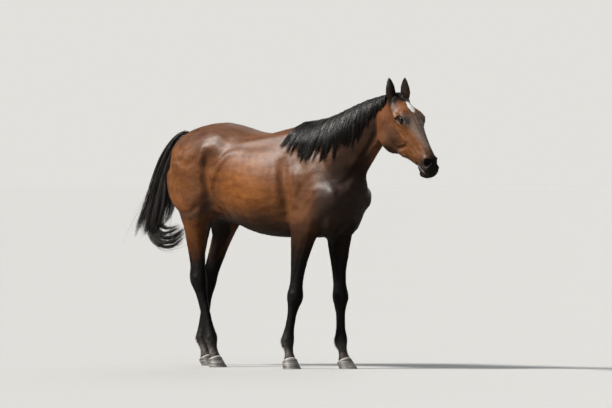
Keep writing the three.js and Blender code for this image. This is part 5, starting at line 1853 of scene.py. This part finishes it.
    def bunch(self, count: int, weight: np.ndarray, length: float, rise: float, way: tuple) -> tuple:
        """Hairs on one part of the body.

        Args:
            count: How many.
            weight: How thickly they cover each triangle.
            length: How long they are.
            rise: How steeply they stand off the skin.
            way: Which way they point.

        Returns:
            Their paths, outward directions and markings.
        """
        roots = self.grow(count, weight + 1e-12)
        flat = np.array(way, float) - roots.normal * (roots.normal @ np.array(way, float))[:, None]
        flat = unit(flat + self.random.normal(0, 0.10, flat.shape))
        size = length * self.random.uniform(0.6, 1.25, count)
        return self.hairs(roots, flat, size, rise)

    @staticmethod
    def hairs(roots: Roots, way: np.ndarray, size: np.ndarray, rise: float) -> tuple:
        """Curved hairs that start off the skin and bend along it."""
        v = np.linspace(0, 1, 4)[None, :, None]
        reach = size[:, None, None]
        paths = roots.place[:, None] + way[:, None] * v * reach + roots.normal[:, None] * (
            rise * reach * (v - 0.45 * v**2) - 0.0006
        )
        return paths, np.repeat(roots.normal[:, None], 4, axis=1), roots.marks

    def ear_hair(self, ear: Ear) -> tuple:
        """Soft hair that crosses one ear's opening near its root and lines its rims."""
        count = 420
        across = self.random.choice((-1, 1), count) * self.random.uniform(0.55, 0.98, count)
        up = self.random.beta(1.3, 1.9, count) * 0.85 + 0.05
        place = ear.shape(across, up)
        inward = ear.shape(across * 0.6, up)
        way = unit(np.stack((-across * 0.8, np.full(count, 0.8), np.full(count, 0.35)), 1))
        turn, root = ear.matrix[:3, :3], ear.matrix[:3, 3]
        normal = unit((inward - place) + np.array((0, 0, 0.006))) @ turn.T
        size = np.interp(up, (0, 0.3, 0.9), (0.022, 0.017, 0.008)) * self.random.uniform(0.7, 1.2, count)
        marks = {key: np.full(count, value) for key, value in EAR_HAIR.items()}
        return self.hairs(Roots(place @ turn.T + root, normal, marks), way @ turn.T, size, 0.25)

    def face_hair(self, finish: bpy.types.Material) -> bpy.types.Object:
        """Lashes over each eye and whiskers round the lips and chin."""
        parts = []
        eye = Eye()
        for side in SIDES:
            u = np.linspace(-0.019, 0.017, 54)
            v = eye.upper * (1 - np.abs(u / eye.half_length) ** 1.7) ** (1 / 1.7) + 0.0008
            c, s = math.cos(eye.slant), math.sin(eye.slant)
            local = np.stack((eye.place[0] + u * c - v * s, np.zeros(54), eye.place[2] + u * s + v * c), 1)
            local[:, 1] = eye.ball(local) + 0.0022
            way = unit(np.stack((0.25 + 10 * u, np.full(54, 0.95), np.full(54, -0.15)), 1))
            up = np.tile((0.0, 0.4, 0.9), (54, 1))
            mirror = np.array((1, side, 1))
            marks = {key: np.full(54, float(key == "black")) for key in MARKS}
            roots = Roots(HEAD.world(local * mirror), unit((up * mirror) @ HEAD.axes.T), marks)
            parts.append(self.hairs(roots, (way * mirror) @ HEAD.axes.T, self.random.uniform(0.012, 0.018, 54), 0.25))
        local = HEAD.local(self.middle)
        head, _ = Skin.regions(self.middle)
        lips, _ = near_path(local[:, [0, 2]], np.array(MOUTH))
        muzzle = head * (local[:, 0] > 0.47) * (lips < 0.035) * (lips > 0.009)
        roots = self.grow(56, muzzle)
        way = unit(roots.normal + HEAD.axes[:, 0] * 0.5 - HEAD.axes[:, 2] * 0.3)
        parts.append(self.hairs(roots, way, self.random.uniform(0.010, 0.036, 56), 0.1))
        return self.gather("lashes_and_whiskers", parts, finish, 0.00035)

    def gather(
        self, name: str, parts: list[tuple], finish: bpy.types.Material, half: float
    ) -> bpy.types.Object:
        """One piece of many hairs.

        Args:
            name: The piece's name.
            parts: Bunches of paths, outward directions and markings.
            finish: Their material.
            half: Half a hair's width at its root.

        Returns:
            The piece.
        """
        paths, out = (np.vstack([part[i] for part in parts]) for i in range(2))
        taper = np.linspace(1.0, 0.15, paths.shape[1])[None, :]
        width = half * taper * self.random.uniform(0.7, 1.3, (len(paths), 1))
        mesh = Sweeps(paths, out, width, width * 0.6).mesh(name, np.full(len(paths), 0.3))
        each = paths.shape[1] * 3
        for key in MARKS:
            mark(mesh, {key: np.repeat(np.concatenate([part[2][key] for part in parts]), each)})
        made = new_object(name, mesh, finish)
        return made


# ------------------------------------------------------------------ studio


@dataclass(frozen=True)
class Lamp:
    """A large soft light, far enough away to be even all over the horse."""

    name: str
    way: tuple  # towards the light: right of the camera, towards the camera, up
    power: float
    softness: float
    colour: tuple = (1.0, 1.0, 1.0)

    def build(self, turn: Matrix) -> None:
        """Hangs the light.

        Args:
            turn: From the camera's directions to the frame's.
        """
        light = bpy.data.lights.new(self.name, "SUN")
        light.energy, light.color, light.angle = self.power, self.colour, math.radians(self.softness)
        made = bpy.data.objects.new(self.name, light)
        made.rotation_euler = (turn @ Vector(self.way)).to_track_quat("Z", "Y").to_euler()
        bpy.context.scene.collection.objects.link(made)


@dataclass(frozen=True)
class Studio:
    """The floor, the lights and the camera."""

    azimuth: float = math.radians(42)
    distance: float = 45.0
    eye_height: float = 1.25
    pixels_per_metre: float = 152.5
    centre: tuple = (306, 204)
    level: tuple = (267, 176.9)  # where the camera's own level line meets mid-trunk
    frame_width: int = 612
    floor_half: float = 600.0
    lamps: tuple = (
        Lamp("key", (-0.70, 0.18, 0.70), 6.8, 10, (1.0, 0.965, 0.91)),
        Lamp("overhead", (-0.15, 0.15, 1.0), 0.9, 80, (0.94, 0.97, 1.0)),
        Lamp("front", (-0.10, 0.95, 0.40), 0.35, 50, (1.0, 0.98, 0.96)),
        Lamp("far_side", (0.35, -0.80, 0.50), 0.8, 50, (0.96, 0.98, 1.0)),
    )
    air: tuple = (0.80, 0.87, 0.95, 1)
    air_strength: float = 0.11
    backdrop: tuple = (0.760, 0.750, 0.719, 1)

    def build(self) -> None:
        """Sets everything up."""
        self.camera()
        turn = Matrix.Rotation(self.azimuth, 3, "Z") @ Matrix.Diagonal((1, -1, 1))
        for lamp in self.lamps:
            lamp.build(turn)
        self.world()
        bm = bmesh.new()
        bmesh.ops.create_grid(bm, x_segments=1, y_segments=1, size=self.floor_half)
        mesh = bpy.data.meshes.new("floor")
        bm.to_mesh(mesh)
        bm.free()
        new_object("floor", mesh, FloorFinish().build())

    def world(self) -> None:
        """Fills the studio with even light in front of a plain pale backdrop."""
        world = bpy.data.worlds.new("air")
        world.use_nodes = True
        nodes = Nodes(world.node_tree)
        light = world.node_tree.nodes["Background"]
        light.inputs["Color"].default_value = self.air
        light.inputs["Strength"].default_value = self.air_strength
        seen = nodes.add("ShaderNodeBackground")
        seen.inputs["Color"].default_value = self.backdrop
        choose = nodes.add("ShaderNodeMixShader")
        nodes.link(nodes.add("ShaderNodeLightPath").outputs["Is Camera Ray"], choose.inputs[0])
        nodes.link(light.outputs[0], choose.inputs[1])
        nodes.link(seen.outputs[0], choose.inputs[2])
        nodes.link(choose.outputs[0], world.node_tree.nodes["World Output"].inputs[0])
        bpy.context.scene.world = world
        bpy.context.scene.view_settings.view_transform = "Standard"

    def camera(self) -> None:
        """Places the camera."""
        focal = self.pixels_per_metre * self.distance
        ahead = Vector((-math.sin(self.azimuth), math.cos(self.azimuth), 0))
        right = Vector((math.cos(self.azimuth), math.sin(self.azimuth), 0))
        lens = bpy.data.cameras.new("camera")
        lens.sensor_width = 36.0
        lens.lens = focal / self.frame_width * lens.sensor_width
        lens.clip_end = 3000
        made = bpy.data.objects.new("camera", lens)
        made.location = Vector((-MID_TRUNK, 0, self.eye_height)) - ahead * self.distance
        aim = (
            ahead + right * ((self.centre[0] - self.level[0]) / focal)
            - Vector((0, 0, 1)) * ((self.centre[1] - self.level[1]) / focal)
        )
        made.rotation_euler = aim.to_track_quat("-Z", "Y").to_euler()
        bpy.context.scene.collection.objects.link(made)
        bpy.context.scene.camera = made


# ------------------------------------------------------------------ the horse


def join_ears(skin: bpy.types.Object, ears: list[Ear]) -> np.ndarray:
    """Joins the ears' shells to the skin.

    Args:
        skin: The skin's object.
        ears: The ears.

    Returns:
        For each of the skin's points, how far it lies inside an ear.
    """
    graph = bpy.context.evaluated_depsgraph_get()
    bm = bmesh.new()
    bm.from_mesh(skin.data)
    count = len(bm.verts)
    for ear in ears:
        shell = ear.build()
        graph.update()
        bm.from_mesh(shell.evaluated_get(graph).to_mesh())
        bpy.data.objects.remove(shell)
    bm.to_mesh(skin.data)
    bm.free()
    skin.data.shade_smooth()
    points = Surface(skin.data).co
    inside = np.full(len(points), -1.0)
    inside[count:] = np.maximum(ears[0].inside(points[count:]), ears[1].inside(points[count:]))
    return inside


def paint_skin(skin: bpy.types.Object, inside: np.ndarray) -> None:
    """Writes the markings on the skin and the ears."""
    points = Surface(skin.data).co
    marks = markings(points)
    ear = inside >= 0
    up = np.clip((points[:, 2] - HEAD.world((0.034, 0.054, -0.026))[2]) / 0.146, 0, 1)
    marks["black"] = np.where(ear, np.where(inside > 0.5, 0.15 + 0.3 * up**2, 0.88 + 0.12 * up), marks["black"])
    marks["hang"] = np.where(ear, 1.0, marks["hang"])
    marks["dust"] = np.where(ear, np.where(inside > 0.5, 0.50 + 0.4 * up, 0), marks["dust"])
    marks["star"] = np.where(ear, 0, marks["star"])
    marks["shade"] = np.where(ear, np.where(inside > 0.5, 0.25, 0.6), marks["shade"])
    mark(skin.data, marks)


def main() -> None:
    """Builds the horse and its studio."""
    logging.basicConfig(level=logging.INFO, format="%(name)s: %(message)s")
    effects = Effects()
    coat_finish, hair_finish = CoatFinish().build(effects), LongHairFinish().build()
    maker = Skin()
    skin = maker.build()
    ears = [Ear(-1, 168), Ear(1, -12)]
    inside = join_ears(skin, ears)
    paint_skin(skin, inside)
    skin.data.materials.append(coat_finish)
    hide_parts(*FLESH, "ear_right", "ear_left")
    pieces = [skin]
    mane = Mane(maker).build(hair_finish)
    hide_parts("mane")
    forelock = Forelock(maker).build(hair_finish)
    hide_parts("forelock")
    tail = Tail().build(hair_finish)
    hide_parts("tail")
    pieces += [*mane, forelock, *tail]
    coat = Coat(skin, ears)
    pieces += [*coat.build(coat_finish), coat.trimmings(coat_finish), coat.face_hair(hair_finish)]
    eye_finish, hoof_finish = EyeFinish().build(), HoofFinish().build()
    pieces += [Eyeball(name, side).build(eye_finish) for name, side in EYES.items()]
    pieces += [Hoof(leg).build(hoof_finish) for leg in LEGS]
    for piece in pieces:
        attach(piece, ROOT)
        log.info("%s: %d faces", piece.name, len(piece.data.polygons))
    Studio().build()


if __name__ == "__main__":
    main()
